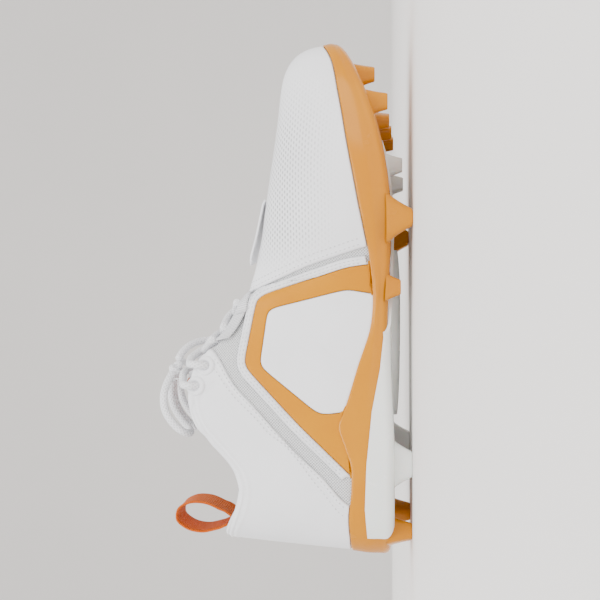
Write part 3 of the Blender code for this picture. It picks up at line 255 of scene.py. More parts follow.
LACE_ROUTES = {
    "lace_loop_medial": ((0.1070, -0.0113, 0.1460), (0.1015, -0.0165, 0.1476), (0.0950, -0.0210, 0.1482),
                         (0.0870, -0.0236, 0.1468), (0.0773, -0.0240, 0.1403), (0.0742, -0.0228, 0.1371),
                         (0.0722, -0.0195, 0.1345), (0.0715, -0.0150, 0.1335), (0.0722, -0.0105, 0.1345),
                         (0.0742, -0.0072, 0.1371), (0.0773, -0.0060, 0.1403), (0.0870, -0.0062, 0.1465),
                         (0.0950, -0.0064, 0.1480), (0.1018, -0.0065, 0.1480)),
    "lace_loop_lateral": ((0.1070, 0.0043, 0.1460), (0.1015, 0.0100, 0.1476), (0.0950, 0.0152, 0.1482),
                          (0.0870, 0.0183, 0.1468), (0.0773, 0.0190, 0.1403), (0.0742, 0.0178, 0.1371),
                          (0.0722, 0.0145, 0.1345), (0.0715, 0.0100, 0.1335), (0.0722, 0.0055, 0.1345),
                          (0.0742, 0.0022, 0.1371), (0.0773, 0.0010, 0.1403), (0.0870, 0.0006, 0.1465),
                          (0.0950, 0.0000, 0.1480), (0.1018, -0.0005, 0.1480)),
    "lace_end_rear": ((0.1125, 0.0032, 0.1454), (0.1130, 0.0110, 0.1458), (0.1110, 0.0190, 0.1445),
                      (0.1070, 0.0265, 0.1405), (0.1010, 0.0320, 0.1330), (0.0940, 0.0355, 0.1220),
                      (0.0860, 0.0380, 0.1100), (0.0800, 0.0400, 0.0990)),
    "lace_end_front": ((0.1156, -0.0015, 0.1446), (0.1195, 0.0035, 0.1435), (0.1235, 0.0105, 0.1405),
                       (0.1260, 0.0180, 0.1350), (0.1265, 0.0245, 0.1265), (0.1250, 0.0300, 0.1160)),
}

# Lamps: name, place, size and share of the key light's power
LAMPS = (("key", (-0.25, -1.1, 1.15), 0.9, 1.0), ("front", (0.9, -1.3, 0.55), 1.0, 0.55),
         ("over", (0.1, 0.3, 1.6), 1.4, 0.5), ("back", (-0.8, 1.1, 0.8), 1.0, 0.3))
LAMP_TARGET = (0.0, 0.0, 0.06)
CAMERA_TARGET = (0.0, 0.0, 0.068)
ROOM_COLOUR = (1.0, 0.985, 0.965, 1.0)

MATERIALS = {}


# The last and the sole as functions

def smooth(xs, ys, x):
    """Cubic curve through (xs, ys): each knot's slope is that of the two knots beside it."""
    xs = np.asarray(xs, float)
    ys = np.asarray(ys, float)
    x = np.clip(np.asarray(x, float), xs[0], xs[-1])
    slopes = np.gradient(ys, xs)
    i = np.clip(np.searchsorted(xs, x, side="right") - 1, 0, len(xs) - 2)
    h = xs[i + 1] - xs[i]
    t = (x - xs[i]) / h
    a = (1 + 2 * t) * (1 - t) ** 2 * ys[i] + t * (1 - t) ** 2 * h * slopes[i]
    b = t * t * (3 - 2 * t) * ys[i + 1] + t * t * (t - 1) * h * slopes[i + 1]
    return a + b


def station(name, u):
    """A column of STATIONS as a smooth function of u."""
    return smooth(STATION["u"], STATION[name], u)


def plate_top(x):
    """Height of the plate: flat, plus a squared sine arch in the waist and a squared toe spring."""
    along = np.asarray(x, float) / LENGTH
    arch = np.sin(math.pi * np.clip((along - 0.20) / 0.44, 0, 1)) ** 2
    spring = np.clip((along - BALL_AT) / (1 - BALL_AT), 0, None) ** 2
    return STUD_HEIGHT + PLATE_THICKNESS + ARCH_RISE * arch + TOE_SPRING * spring


def rand_top(x):
    """Height of the rand's upper edge at x: the plate plus a share of the rand's height."""
    return plate_top(x) + RAND_HEIGHT * smooth(RAND_X, RAND_RISE, np.asarray(x) / LENGTH)


def foot_point(side, u):
    """Where the upper meets the plate: x runs as half of 1 - cos(pi u), y from the half widths."""
    inset = RAND_THICKNESS + GAP
    x = inset + (LENGTH - 2 * inset) * (1 - np.cos(math.pi * u)) / 2
    middle = (station("lateral", u) - station("medial", u)) / 2
    half = (station("lateral", u) + station("medial", u)) / 2 * (BALL_WIDTH - 2 * inset)
    return x, middle * BALL_WIDTH + SIDES[side] * half, plate_top(x) + GAP


def surface(side, u, v):
    """Outer face of the upper: superellipse sections from the foot point (v = 0) to the head (v = 1)."""
    u = np.atleast_1d(np.asarray(u, float))
    v = np.asarray(v, float)
    v = np.broadcast_to(v, (len(u), v.shape[-1]))
    foot_x, foot_y, foot_z = foot_point(side, u)
    head_x = station("head", u) * LENGTH
    opening = np.maximum(station("opening", u), 0) * (u < THROAT_FRONT)
    head_y = (station("middle", u) + SIDES[side] * opening) * BALL_WIDTH
    bow = station(side + "_bow", u)[:, None]
    size = ((1 - v) ** (2 / bow) + v ** (2 / bow)) ** (bow / 2)
    inward = 1 - (1 - v) / size
    upward = v / size
    x = foot_x[:, None] + (head_x - foot_x)[:, None] * inward
    y = foot_y[:, None] + (head_y - foot_y)[:, None] * inward
    y = y - SIDES[side] * (station("waist", u) * BALL_WIDTH)[:, None] * np.sin(math.pi * upward)
    z = foot_z[:, None] + (station("rise", u) - foot_z)[:, None] * upward
    return np.stack([x, y, z], axis=-1)


def normals(side, u, v):
    """Outward unit normals of surface(): the cross product of its two slopes."""
    u = np.atleast_1d(np.asarray(u, float))
    v = np.asarray(v, float)
    v = np.broadcast_to(v, (len(u), v.shape[-1]))
    step = 1e-4
    along = surface(side, np.clip(u + step, 0, 1), v) - surface(side, np.clip(u - step, 0, 1), v)
    up = surface(side, u, np.clip(v + step, 0, 1)) - surface(side, u, np.clip(v - step, 0, 1))
    out = np.cross(up, along) * SIDES[side]
    ridge = (u >= THROAT_FRONT)[:, None] & (v >= 1)
    out[(u <= 0) | (u >= 1), :, 1] = 0
    ahead = (station("head", u + step) - station("head", u - step)) * LENGTH
    rise = station("rise", u + step) - station("rise", u - step)
    for axis, part in enumerate((-rise, 0 * u, ahead)):
        out[..., axis] = np.where(ridge, part[:, None], out[..., axis])
    return out / np.linalg.norm(out, axis=-1, keepdims=True)


def lifted(side, u, v, lift):
    """surface() moved out along its normals; lift is one number or one for each point."""
    lift = np.asarray(lift, float)
    if lift.ndim == 2:
        lift = lift[..., None]
    return surface(side, u, v) + normals(side, u, v) * lift


def v_at_height(side, u, z):
    """The v at which each section reaches a height: the superellipse solved for v."""
    foot_z = foot_point(side, u)[2]
    share = np.clip((z - foot_z) / (station("rise", u) - foot_z), 0, 0.999)
    bow = station(side + "_bow", u)
    return share / (share + (1 - share ** (2 / bow)) ** (bow / 2))


def v_low(side, u, clearance=0.0003):
    """The v of the rand's upper edge, plus a clearance."""
    return v_at_height(side, u, rand_top(foot_point(side, u)[0]) + clearance)


def locate(side, x, z):
    """(u, v) of the points seen at x, z from the side: nearest of a coarse grid, then Newton steps."""
    x = np.asarray(x, float)
    z = np.asarray(z, float)
    us, vs = np.meshgrid(np.linspace(0.02, 0.98, 90), np.linspace(0.01, 0.99, 50), indexing="ij")
    coarse = surface(side, us[:, 0], vs)
    away = (coarse[..., 0].ravel()[None] - x[:, None]) ** 2 + (coarse[..., 2].ravel()[None] - z[:, None]) ** 2
    best = np.argmin(away, axis=1)
    u = us.ravel()[best]
    v = vs.ravel()[best]
    step = 1e-4
    for _ in range(14):
        here = surface(side, u, v[:, None])[:, 0]
        du = (surface(side, u + step, v[:, None])[:, 0] - here) / step
        dv = (surface(side, u, v[:, None] + step)[:, 0] - here) / step
        ex = x - here[:, 0]
        ez = z - here[:, 2]
        det = du[:, 0] * dv[:, 2] - du[:, 2] * dv[:, 0]
        det = np.where(np.abs(det) < 1e-9, 1e-9, det)
        u = np.clip(u + np.clip((ex * dv[:, 2] - ez * dv[:, 0]) / det, -0.05, 0.05), 0.001, 0.998)
        v = np.clip(v + np.clip((du[:, 0] * ez - du[:, 2] * ex) / det, -0.08, 0.08), 0.001, 0.998)
    return u, v


def on_side(side, points, lift):
    """Side view points (n, m, 2) carried onto the upper, lifted by one number or one for each."""
    shape = points.shape[:2]
    u, v = locate(side, points[..., 0].ravel(), points[..., 1].ravel())
    spots = surface(side, u, v[:, None])[:, 0]
    out = normals(side, u, v[:, None])[:, 0]
    lift = np.broadcast_to(np.asarray(lift, float), shape).ravel()
    return (spots + out * lift[:, None]).reshape(*shape, 3), out.reshape(*shape, 3)


def shares(rows):
    """An outline's shares as metres."""
    return np.array(rows, float) * np.array([LENGTH, COLLAR_HEIGHT])


def softened(rows, per_side, width):
    """An outline with round corners: even points on each side, then a moving average."""
    points = shares(rows)
    parts = [points[i] + (points[i + 1] - points[i]) * np.linspace(0, 1, per_side, endpoint=False)[:, None]
             for i in range(len(points) - 1)]
    line = np.concatenate(parts + [points[-1:]])
    reach = np.arange(-3 * width, 3 * width + 1)
    weights = np.exp(-(reach / width) ** 2 / 2)
    weights = weights / weights.sum()
    before = 2 * line[0] - line[3 * width:0:-1]
    after = 2 * line[-1] - line[-2:-3 * width - 2:-1]
    padded = np.concatenate([before, line, after])
    return np.stack([np.convolve(padded[:, k], weights, mode="valid") for k in range(2)], axis=-1)


def travel(line):
    """Distance travelled along a line, from 0 at its first point."""
    return np.concatenate([[0], np.cumsum(np.linalg.norm(np.diff(line, axis=0), axis=1))])


def ridge(distance, at, width, height):
    """A raised line: a bell curve of the distance round a place; a negative height is a groove."""
    return height * np.exp(-((distance - at) / width) ** 2)


def metres(size):
    """A size as it was typed: Blender holds a property in 32 bits, so it is rounded back."""
    return round(size, 7)


def resampled(line, count):
    """A line read again at even distances."""
    travelled = travel(line)
    at = np.linspace(0, travelled[-1], count)
    return np.stack([np.interp(at, travelled, line[:, k]) for k in range(line.shape[1])], axis=-1)


def widened(line, distance):
    """A side view line moved sideways by a distance along its own normals."""
    along = np.gradient(line, axis=0)
    along = along / np.linalg.norm(along, axis=1, keepdims=True)
    return line + np.stack([along[:, 1], -along[:, 0]], axis=1) * distance


def through(points, spacing):
    """Points at even spacing on the smooth curve through hand-chosen ones."""
    knots = np.array(points, float)
    travelled = travel(knots)
    at = np.linspace(0, travelled[-1], max(4, int(travelled[-1] / spacing)))
    return np.stack([smooth(travelled, knots[:, k], at) for k in range(3)], axis=-1)


def arc(points, axis):
    """Distance travelled along one direction of a point grid."""
    steps = np.linalg.norm(np.diff(points, axis=axis), axis=-1)
    start = np.zeros_like(np.take(steps, [0], axis=axis))
    return np.concatenate([start, np.cumsum(steps, axis=axis)], axis=axis)


def rolled(distance, radius, depth):
    """How far a border is rolled down: a quarter circle over the last radius of a sheet."""
    share = np.clip(1 - distance / radius, 0, 1)
    return depth * (1 - np.sqrt(np.clip(1 - share ** 2, 0, 1)))


def eased(count, tight):
    """Levels from 0 to 1 that lie closer together at both ends."""
    t = np.linspace(0, 1, count)
    return t + tight * (np.sin(2 * math.pi * t)) / (2 * math.pi) * -1


# Meshes

def grid_faces(n, m, wrap_n, wrap_m, start):
    """Quads of an n by m grid of vertices, as one array of indices."""
    i = np.arange(n if wrap_n else n - 1)[:, None]
    j = np.arange(m if wrap_m else m - 1)[None]
    i2 = (i + 1) % n
    j2 = (j + 1) % m
    quads = np.stack([i * m + j, i * m + j2, i2 * m + j2, i2 * m + j], axis=-1)
    return quads.reshape(-1, 4) + start


def made(name, grids, look, *, replaces=(), wrap=(False, False), weld=True, wall=None, closed=True,
         uv=None, extra=None):
    """A piece from point grids (n, m, 3): merged, given a wall or recalculated normals, and set to ride."""
    verts = []
    quads = []
    start = 0
    for grid in grids:
        n, m = grid.shape[:2]
        verts.append(grid.reshape(-1, 3))
        quads.append(grid_faces(n, m, *wrap, start))
        start += n * m
    verts = np.concatenate(verts) - SHIFT
    quads = np.concatenate(quads)
    mesh = bpy.data.meshes.new(name)
    mesh.from_pydata(verts.tolist(), [], quads.tolist())
    if uv is not None:
        flat = np.concatenate([grid.reshape(-1, 2) for grid in uv])
        layer = mesh.uv_layers.new(name="UVMap")
        layer.data.foreach_set("uv", flat[quads.ravel()].ravel())
    return finished(name, mesh, look, replaces, weld, wall, closed, extra)


def finished(name, mesh, look, replaces=(), weld=True, wall=None, closed=True, extra=None):
    """Links a mesh as a piece that rides on the shoe."""
    work = bmesh.new()
    work.from_mesh(mesh)
    if weld:
        bmesh.ops.remove_doubles(work, verts=work.verts, dist=WELD)
        bmesh.ops.dissolve_degenerate(work, edges=work.edges, dist=1e-6)
    if closed:
        bmesh.ops.recalc_face_normals(work, faces=work.faces)
    work.to_mesh(mesh)
    work.free()
    mesh.materials.append(MATERIALS[look])
    if extra:
        mesh.materials.append(MATERIALS[extra])
    piece = bpy.data.objects.new(name, mesh)
    bpy.context.scene.collection.objects.link(piece)
    mesh.shade_smooth()
    if wall:
        solid = piece.modifiers.new("wall", "SOLIDIFY")
        solid.thickness = wall[0]
        solid.offset = wall[1]
        if extra:
            solid.material_offset = 1
            solid.material_offset_rim = 1
    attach(piece, BODY)
    if replaces:
        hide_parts(*replaces)
    return piece


def tube_grid(path, radius, sides=16, cap=True):
    """Rings round a path: each ring's axes come from the path's direction, carried along without twist."""
    path = np.asarray(path, float)
    along = np.gradient(path, axis=0)
    along = along / np.linalg.norm(along, axis=1, keepdims=True)
    first = np.cross(along[0], [0.31, 0.17, 0.93])
    first = first / np.linalg.norm(first)
    across = [first]
    for direction in along[1:]:
        next_one = across[-1] - direction * np.dot(across[-1], direction)
        across.append(next_one / np.linalg.norm(next_one))
    across = np.array(across)
    other = np.cross(along, across)
    angle = np.arange(sides + 1) * math.tau / sides
    radius = np.broadcast_to(np.asarray(radius, float), (len(path),))
    spread = across[:, None] * np.cos(angle)[None, :, None] + other[:, None] * np.sin(angle)[None, :, None]
    rings = path[:, None] + spread * radius[:, None, None]
    travelled = travel(path)
    uv = np.stack(np.broadcast_arrays(travelled[:, None], angle[None] / math.tau), axis=-1)
    if cap:
        tip = radius[0]
        ends = []
        for end, sign in ((0, -1), (-1, 1)):
            caps = []
            for share in (0.55, 0.88, 1.0):
                reach = math.sqrt(1 - share ** 2)
                caps.append(path[end] + along[end] * sign * tip * share * 0.35 + spread[end] * tip * reach)
            ends.append(np.array(caps))
        rings = np.concatenate([ends[0][::-1], rings, ends[1]])
        uv = np.concatenate([uv[:1], uv[:1], uv[:1], uv, uv[-1:], uv[-1:], uv[-1:]])
    return rings, uv


def bead_rows(path, normals_at, pitch, length, radius):
    """Small stitches along a line: six-sided spindles, their ends sunk, one to each pitch."""
    travelled = travel(path)
    centres = np.arange(pitch, travelled[-1] - pitch / 2, pitch)
    t = np.linspace(-0.5, 0.5, 5)
    at = centres[:, None] + t[None] * length
    spots = np.stack([np.interp(at, travelled, path[:, k]) for k in range(3)], axis=-1)
    ups = np.stack([np.interp(at, travelled, normals_at[:, k]) for k in range(3)], axis=-1)
    ups = ups / np.linalg.norm(ups, axis=-1, keepdims=True)
    along = spots[:, -1:] - spots[:, :1]
    along = along / np.linalg.norm(along, axis=-1, keepdims=True)
    across = np.cross(ups, along)
    angle = np.arange(6) * math.tau / 6
    girth = radius * np.sqrt(np.clip(1 - (2 * t) ** 2, 0.02, 1))
    sink = ups * (-radius * 1.2 * (2 * t[None, :, None]) ** 2)
    rings = ((spots + sink)[:, :, None] + (across[:, :, None] * np.cos(angle)[None, None, :, None]
             + ups[:, :, None] * np.sin(angle)[None, None, :, None]) * girth[None, :, None, None])
    return list(rings)


# Materials

class Nodes:
    """A material's node tree, with short calls for the nodes that these finishes use."""

    def __init__(self, name, colour, roughness, **sockets):
        """Starts from the shader's own sockets; an underscore stands for a space."""
        self.material = bpy.data.materials.new(name)
        self.material.use_nodes = True
        self.tree = self.material.node_tree
        self.shader = self.tree.nodes["Principled BSDF"]
        self.set("Base Color", (*colour, 1.0))
        self.set("Roughness", roughness)
        for socket, value in sockets.items():
            self.set(socket.replace("_", " "), value)
        self.coords = self.tree.nodes.new("ShaderNodeTexCoord")
        MATERIALS[name] = self.material

    def set(self, socket, value):
        """Sets a socket of the shader."""
        self.shader.inputs[socket].default_value = value

    def join(self, out, into):
        """Links two sockets."""
        self.tree.links.new(out, into)

    def noise(self, scale, detail=3.0, source="Object"):
        """Soft noise from 0 to 1."""
        node = self.tree.nodes.new("ShaderNodeTexNoise")
        node.inputs["Scale"].default_value = scale
        node.inputs["Detail"].default_value = detail
        self.join(self.coords.outputs[source], node.inputs["Vector"])
        return node.outputs["Fac"]

    def voronoi(self, scale, source="Object", feature="F1"):
        """Distance to the nearest of scattered points."""
        node = self.tree.nodes.new("ShaderNodeTexVoronoi")
        node.feature = feature
        node.inputs["Scale"].default_value = scale
        self.join(self.coords.outputs[source], node.inputs["Vector"])
        return node.outputs["Distance"]

    def axes(self, source="UV"):
        """The coordinates one by one."""
        node = self.tree.nodes.new("ShaderNodeSeparateXYZ")
        self.join(self.coords.outputs[source], node.inputs[0])
        return node.outputs

    def math(self, operation, first, second=0.0, third=0.0):
        """One sum of sockets or numbers."""
        node = self.tree.nodes.new("ShaderNodeMath")
        node.operation = operation
        for socket, value in zip(node.inputs, (first, second, third)):
            if isinstance(value, (int, float)):
                socket.default_value = value
            else:
                self.join(value, socket)
        return node.outputs[0]

    def ramp(self, factor, low, high, start=0.0, end=1.0):
        """A factor carried from one range to another."""
        node = self.tree.nodes.new("ShaderNodeMapRange")
        node.inputs["From Min"].default_value = low
        node.inputs["From Max"].default_value = high
        node.inputs["To Min"].default_value = start
        node.inputs["To Max"].default_value = end
        self.join(factor, node.inputs["Value"])
        return node.outputs["Result"]

    def colour_mix(self, factor, first, second):
        """Base colour between two colours."""
        node = self.tree.nodes.new("ShaderNodeMix")
        node.data_type = "RGBA"
        node.inputs[6].default_value = (*first, 1.0)
        node.inputs[7].default_value = (*second, 1.0)
        self.join(factor, node.inputs[0])
        self.join(node.outputs[2], self.shader.inputs["Base Color"])
        return node

    def bump(self, height, distance, strength=1.0):
        """Relief, added to what is there already."""
        node = self.tree.nodes.new("ShaderNodeBump")
        node.inputs["Distance"].default_value = distance
        node.inputs["Strength"].default_value = strength
        self.join(height, node.inputs["Height"])
        earlier = self.shader.inputs["Normal"].links
        if earlier:
            self.join(earlier[0].from_socket, node.inputs["Normal"])
        self.join(node.outputs["Normal"], self.shader.inputs["Normal"])
        return node

    def mottled(self, scale, light, dark, detail=3.0):
        """Base colour that drifts between two shades."""
        self.colour_mix(self.ramp(self.noise(scale, detail), 0.35, 0.65), light, dark)

    def vary_roughness(self, factor, low, high):
        """Roughness between two values."""
        self.join(self.ramp(factor, 0.3, 0.7, low, high), self.shader.inputs["Roughness"])

    def wave(self, coordinate, pitch):
        """Half of 1 + sin of the coordinate over a pitch."""
        turned = self.math("MULTIPLY", coordinate, math.tau / pitch)
        return self.math("MULTIPLY_ADD", self.math("SINE", turned), 0.5, 0.5)


def shaded(colour, *shares_of):
    """A colour times one share, or times one share for each channel."""
    factors = shares_of * 3 if len(shares_of) == 1 else shares_of
    return tuple(c * k for c, k in zip(colour, factors))


def synthetic(name, colour, dark):
    """Smooth coated microfibre: fine grain, slow colour drift and a faint sheen."""
    m = Nodes(name, colour, 0.46, Coat_Weight=0.12, Coat_Roughness=0.35)
    m.mottled(24.0, colour, dark, 4.0)
    m.vary_roughness(m.noise(60.0), 0.42, 0.54)
    m.bump(m.noise(70.0, 2.0), 0.0004, 0.25)
    m.bump(m.noise(1500.0, 2.0), 0.00008, 0.5)
    return m


def make_materials(looks):
    """Every finish of the shoe."""
    white = tuple(looks.white)
    amber = tuple(looks.amber)
    synthetic("white_synthetic", white, shaded(white, 0.955))
    m = synthetic("vamp_synthetic", white, shaded(white, 0.96))
    axes = m.axes()
    cell_u = m.math("FRACT", m.math("DIVIDE", axes[0], DOT_PITCH[0]))
    row = m.math("FLOOR", m.math("DIVIDE", axes[1], DOT_PITCH[1]))
    cell_v = m.math("FRACT", m.math("DIVIDE", axes[1], DOT_PITCH[1]))
    shifted = m.math("FRACT", m.math("ADD", cell_u, m.math("MULTIPLY", row, 0.5)))
    du = m.math("MULTIPLY", m.math("SUBTRACT", shifted, 0.5), 1.05)
    dv = m.math("MULTIPLY", m.math("SUBTRACT", cell_v, 0.5), 1.25)
    away = m.math("SQRT", m.math("ADD", m.math("MULTIPLY", du, du), m.math("MULTIPLY", dv, dv)))
    dot = m.ramp(away, 0.20, 0.36, 1.0, 0.0)
    fade_v = m.ramp(axes[1], 0.030, 0.070, 1.0, 0.0)
    fade_u = m.math("MULTIPLY", m.ramp(axes[0], 0.166, 0.190), m.ramp(axes[0], 0.245, 0.285, 1.0, 0.0))
    mask = m.math("MULTIPLY", dot, m.math("MULTIPLY", fade_v, fade_u))
    # Painted shade: the perforation dots are darkened towards 0.52 of the white, as the shade inside the
    # holes; the same mask also dents them with a bump.
    mix = m.shader.inputs["Base Color"].links[0].from_node
    perforation_shade = m.tree.nodes.new("ShaderNodeMix")
    perforation_shade.data_type = "RGBA"
    perforation_shade.inputs[7].default_value = shaded(white, 0.52) + (1.0,)
    m.join(m.math("MULTIPLY", mask, 0.9), perforation_shade.inputs[0])
    m.join(mix.outputs[2], perforation_shade.inputs[6])
    m.join(perforation_shade.outputs[2], m.shader.inputs["Base Color"])
    m.bump(m.math("SUBTRACT", 1.0, mask), 0.0006, 1.0)

    m = Nodes("amber_plastic", amber, 0.20, Coat_Weight=0.12, Coat_Roughness=0.06,
              Specular_IOR_Level=0.22)
    m.mottled(18.0, amber, shaded(amber, 0.93, 0.86, 0.8))
    m.vary_roughness(m.noise(90.0), 0.16, 0.28)
    m.bump(m.noise(45.0, 1.0), 0.0005, 0.25)
    m.bump(m.noise(900.0, 2.0), 0.00004, 0.4)

    m = Nodes("amber_film", amber, 0.42, Specular_IOR_Level=0.12)
    m.mottled(30.0, amber, shaded(amber, 0.95, 0.9, 0.85))
    m.vary_roughness(m.noise(120.0), 0.34, 0.46)
    m.bump(m.noise(60.0, 2.0), 0.0003, 0.3)
    m.bump(m.noise(1400.0, 2.0), 0.00006, 0.4)

    plate = tuple(looks.plate)
    m = Nodes("white_plastic", plate, 0.18, Coat_Weight=0.5, Coat_Roughness=0.1, Subsurface_Weight=0.1,
              Subsurface_Scale=0.004)
    m.mottled(20.0, plate, shaded(plate, 0.96))
    m.vary_roughness(m.noise(90.0), 0.15, 0.28)
    m.bump(m.noise(50.0, 1.0), 0.0004, 0.2)
    m.bump(m.noise(1000.0, 2.0), 0.00003, 0.4)

    knit = tuple(looks.knit)
    m = Nodes("knit", knit, 0.85, Sheen_Weight=0.25, Sheen_Roughness=0.5)
    axes = m.axes()
    one = m.wave(m.math("ADD", axes[0], axes[1]), KNIT_PITCH)
    two = m.wave(m.math("SUBTRACT", axes[0], axes[1]), KNIT_PITCH)
    net = m.math("MAXIMUM", one, two)
    # Painted shade: the knit is darker, down to 0.62 of its colour, in the troughs of the net, where its
    # relief is low.
    m.colour_mix(m.ramp(net, 0.35, 0.9), shaded(knit, 0.62), knit)
    m.bump(net, 0.0006, 0.9)
    m.bump(m.noise(2500.0), 0.0001, 0.5)

    m = Nodes("lining", shaded(white, 0.97), 0.9, Sheen_Weight=0.3, Sheen_Roughness=0.5)
    m.mottled(40.0, shaded(white, 0.97), shaded(white, 0.88))
    m.bump(m.voronoi(1400.0), 0.0003, 0.6)
    m.bump(m.noise(120.0), 0.0008, 0.3)

    for name, colour in (("white_webbing", shaded(white, 0.98)), ("orange_webbing", tuple(looks.loop))):
        m = Nodes(name, colour, 0.72, Sheen_Weight=0.04, Specular_IOR_Level=0.2)
        axes = m.axes()
        rib = m.wave(axes[0], RIB_PITCH)
        thread = m.wave(axes[1], THREAD_PITCH)
        weave = m.math("ADD", m.math("MULTIPLY", rib, 0.75), m.math("MULTIPLY", thread, 0.25))
        # Painted shade: the webbing is darker, down to 0.66 of its colour, in the troughs of the ribs, where
        # the relief is low.
        m.colour_mix(m.ramp(weave, 0.1, 0.7), shaded(colour, 0.66), colour)
        m.bump(weave, 0.0005, 0.9)
        m.bump(m.noise(2200.0), 0.0001, 0.5)

    lace = shaded(white, 0.99)
    m = Nodes("lace", lace, 0.62, Sheen_Weight=0.25, Sheen_Roughness=0.5)
    axes = m.axes()
    turns = m.math("MULTIPLY", axes[1], BRAID_PITCH * 6)
    one = m.wave(m.math("ADD", axes[0], turns), BRAID_PITCH)
    two = m.wave(m.math("SUBTRACT", axes[0], turns), BRAID_PITCH)
    braid = m.math("MAXIMUM", one, two)
    # Painted shade: the lace is darker, down to 0.8 of its colour, in the grooves between the braid's
    # strands.
    m.colour_mix(m.ramp(braid, 0.3, 0.85), shaded(lace, 0.8), lace)
    m.bump(braid, 0.0004, 0.8)
    m.bump(m.noise(2600.0), 0.00008, 0.5)

    m = Nodes("aglet", (0.80, 0.81, 0.80), 0.25, Coat_Weight=0.4, Coat_Roughness=0.1)
    m.bump(m.noise(700.0), 0.0001, 0.3)
    m.vary_roughness(m.noise(300.0), 0.2, 0.35)

    # Painted shade: the thread is darkened to between 0.80 and 0.62 of the white, so that the stitches read
    # as small dots of shade.
    m = Nodes("thread", shaded(white, 0.93), 0.7)
    m.mottled(500.0, shaded(white, 0.80), shaded(white, 0.62))
    m.bump(m.noise(3000.0), 0.00006, 0.5)

    m = Nodes("piping", shaded(white, 0.97), 0.6, Sheen_Weight=0.1)
    m.mottled(90.0, shaded(white, 0.98), shaded(white, 0.88))
    m.bump(m.noise(300.0), 0.0003, 0.4)
    m.bump(m.voronoi(1500.0), 0.0001, 0.5)

    m = Nodes("pale_floor", tuple(looks.floor), 0.7)
    m.colour_mix(m.ramp(m.noise(3.0), 0.3, 0.7), tuple(looks.floor), shaded(looks.floor, 0.98))
    m.bump(m.noise(200.0), 0.0002, 0.2)


# Pieces

def section_levels(count):
    """v levels, closer together near the ridge, where the sections bend most."""
    return 1 - (1 - np.linspace(0, 1, count)) ** 1.15


def both_sides(u, v_of, lift_of, uv_of=None):
    """Grids of the two sides; the medial one runs backwards, so both face outwards."""
    grids = []
    maps = []
    for side in SIDES:
        v = v_of(side)
        base = surface(side, u, v)
        grid = base + normals(side, u, v) * lift_of(side, base)[..., None]
        flat = uv_of(side, base) if uv_of else np.stack([base[..., 0], arc(base, 1)], axis=-1)
        if side == "medial":
            grid = grid[::-1]
            flat = flat[::-1]
        grids.append(grid)
        maps.append(flat)
    return grids, maps


def build_upper():
    """The knit upper: the last's function with a wall, and a soft bead along its open edge."""
    before = np.linspace(0, THROAT_FRONT, 110)
    u = np.concatenate([before, np.linspace(THROAT_FRONT, 1, 90)[1:]])
    v = section_levels(44)

    def lift(side, base):
        """A bead along the open edge."""
        edge = arc(base, 1)
        edge = edge[:, -1:] - edge
        opened = (u < THROAT_FRONT)[:, None]
        return np.where(opened, ridge(edge, *EDGE_BEAD), 0.0)

    grids, maps = both_sides(u, lambda side: v, lift)
    return made("upper_knit", grids, "knit", replaces=("upper",), closed=False, uv=maps,
                wall=(UPPER_WALL * 0.97, -1.0), extra="lining")


def slanted(side, line, toe, count_u, count_v):
    """u and v of a sheet between a slanted edge, seen as x = f(z), and the toe or the heel."""
    line = shares(line)
    edge_z = np.linspace(line[0, 1], line[-1, 1], 80)
    edge_x = np.interp(edge_z, line[:, 1], line[:, 0])
    weights = np.exp(-(np.arange(-6, 7) / 2.5) ** 2 / 2)
    weights = weights / weights.sum()
    edge_x = np.convolve(np.concatenate([[edge_x[0]] * 6, edge_x, [edge_x[-1]] * 6]), weights, mode="valid")
    share = eased(count_v, 0.55)
    low = np.full(count_v, 0.03)
    high = np.full(count_v, 0.97)
    for _ in range(34):
        u = (low + high) / 2
        v = v_low(side, u) + (1 - v_low(side, u)) * share
        spot = surface(side, u, v[:, None])[:, 0]
        beyond = spot[:, 0] > np.interp(spot[:, 2], edge_z, edge_x)
        high = np.where(beyond, u, high)
        low = np.where(beyond, low, u)
    start = (low + high) / 2
    end = 1.0 if toe else 0.0
    s = eased(count_u, 0.45)
    u = start[None] + (end - start)[None] * s[:, None]
    foot = v_low(side, u.ravel()).reshape(u.shape)
    return u, foot + (1 - foot) * share[None]


def patch(side, u, v):
    """Points and normals where both u and v vary over the grid."""
    flat = surface(side, u.ravel(), v.ravel()[:, None])[:, 0].reshape(*u.shape, 3)
    out = normals(side, u.ravel(), v.ravel()[:, None])[:, 0].reshape(*u.shape, 3)
    return flat, out


def build_vamp():
    """The vamp's skin, its rear and lower borders rolled down, with the perforation on its own map."""
    grids = []
    maps = []
    for side in SIDES:
        u, v = slanted(side, VAMP_REAR, True, 110, 60)
        base, out = patch(side, u, v)
        from_rear = arc(base, 0)
        from_rand = arc(base, 1)
        lift = OVERLAY_TOP - rolled(from_rear, *BORDER_ROLL) - rolled(from_rand, *RAND_ROLL)
        lift = lift + ridge(from_rear, *VAMP_SEAM) * (from_rand > 0.012)
        slot = distance_to_line(base[..., [0, 2]], np.array(VAMP_SLOT))
        lift = lift + ridge(slot, *SLOT_CUT)
        grid = base + out * lift[..., None]
        flat = np.stack([base[..., 0], from_rand[:, -1:] - from_rand], axis=-1)
        if side == "medial":
            grid = grid[::-1]
            flat = flat[::-1]
        grids.append(grid)
        maps.append(flat)
    return made("vamp_skin", grids, "vamp_synthetic", replaces=("vamp",),
                closed=False, uv=maps, wall=SKIN_WALL)


def distance_to_line(points, line):
    """Least distance from side view points to a polyline, worked out for all of them at once."""
    start = line[:-1]
    step = line[1:] - start
    away = points[..., None, :] - start
    t = np.clip(np.sum(away * step, axis=-1) / np.sum(step * step, axis=-1), 0, 1)
    return np.min(np.linalg.norm(away - t[..., None] * step, axis=-1), axis=-1)


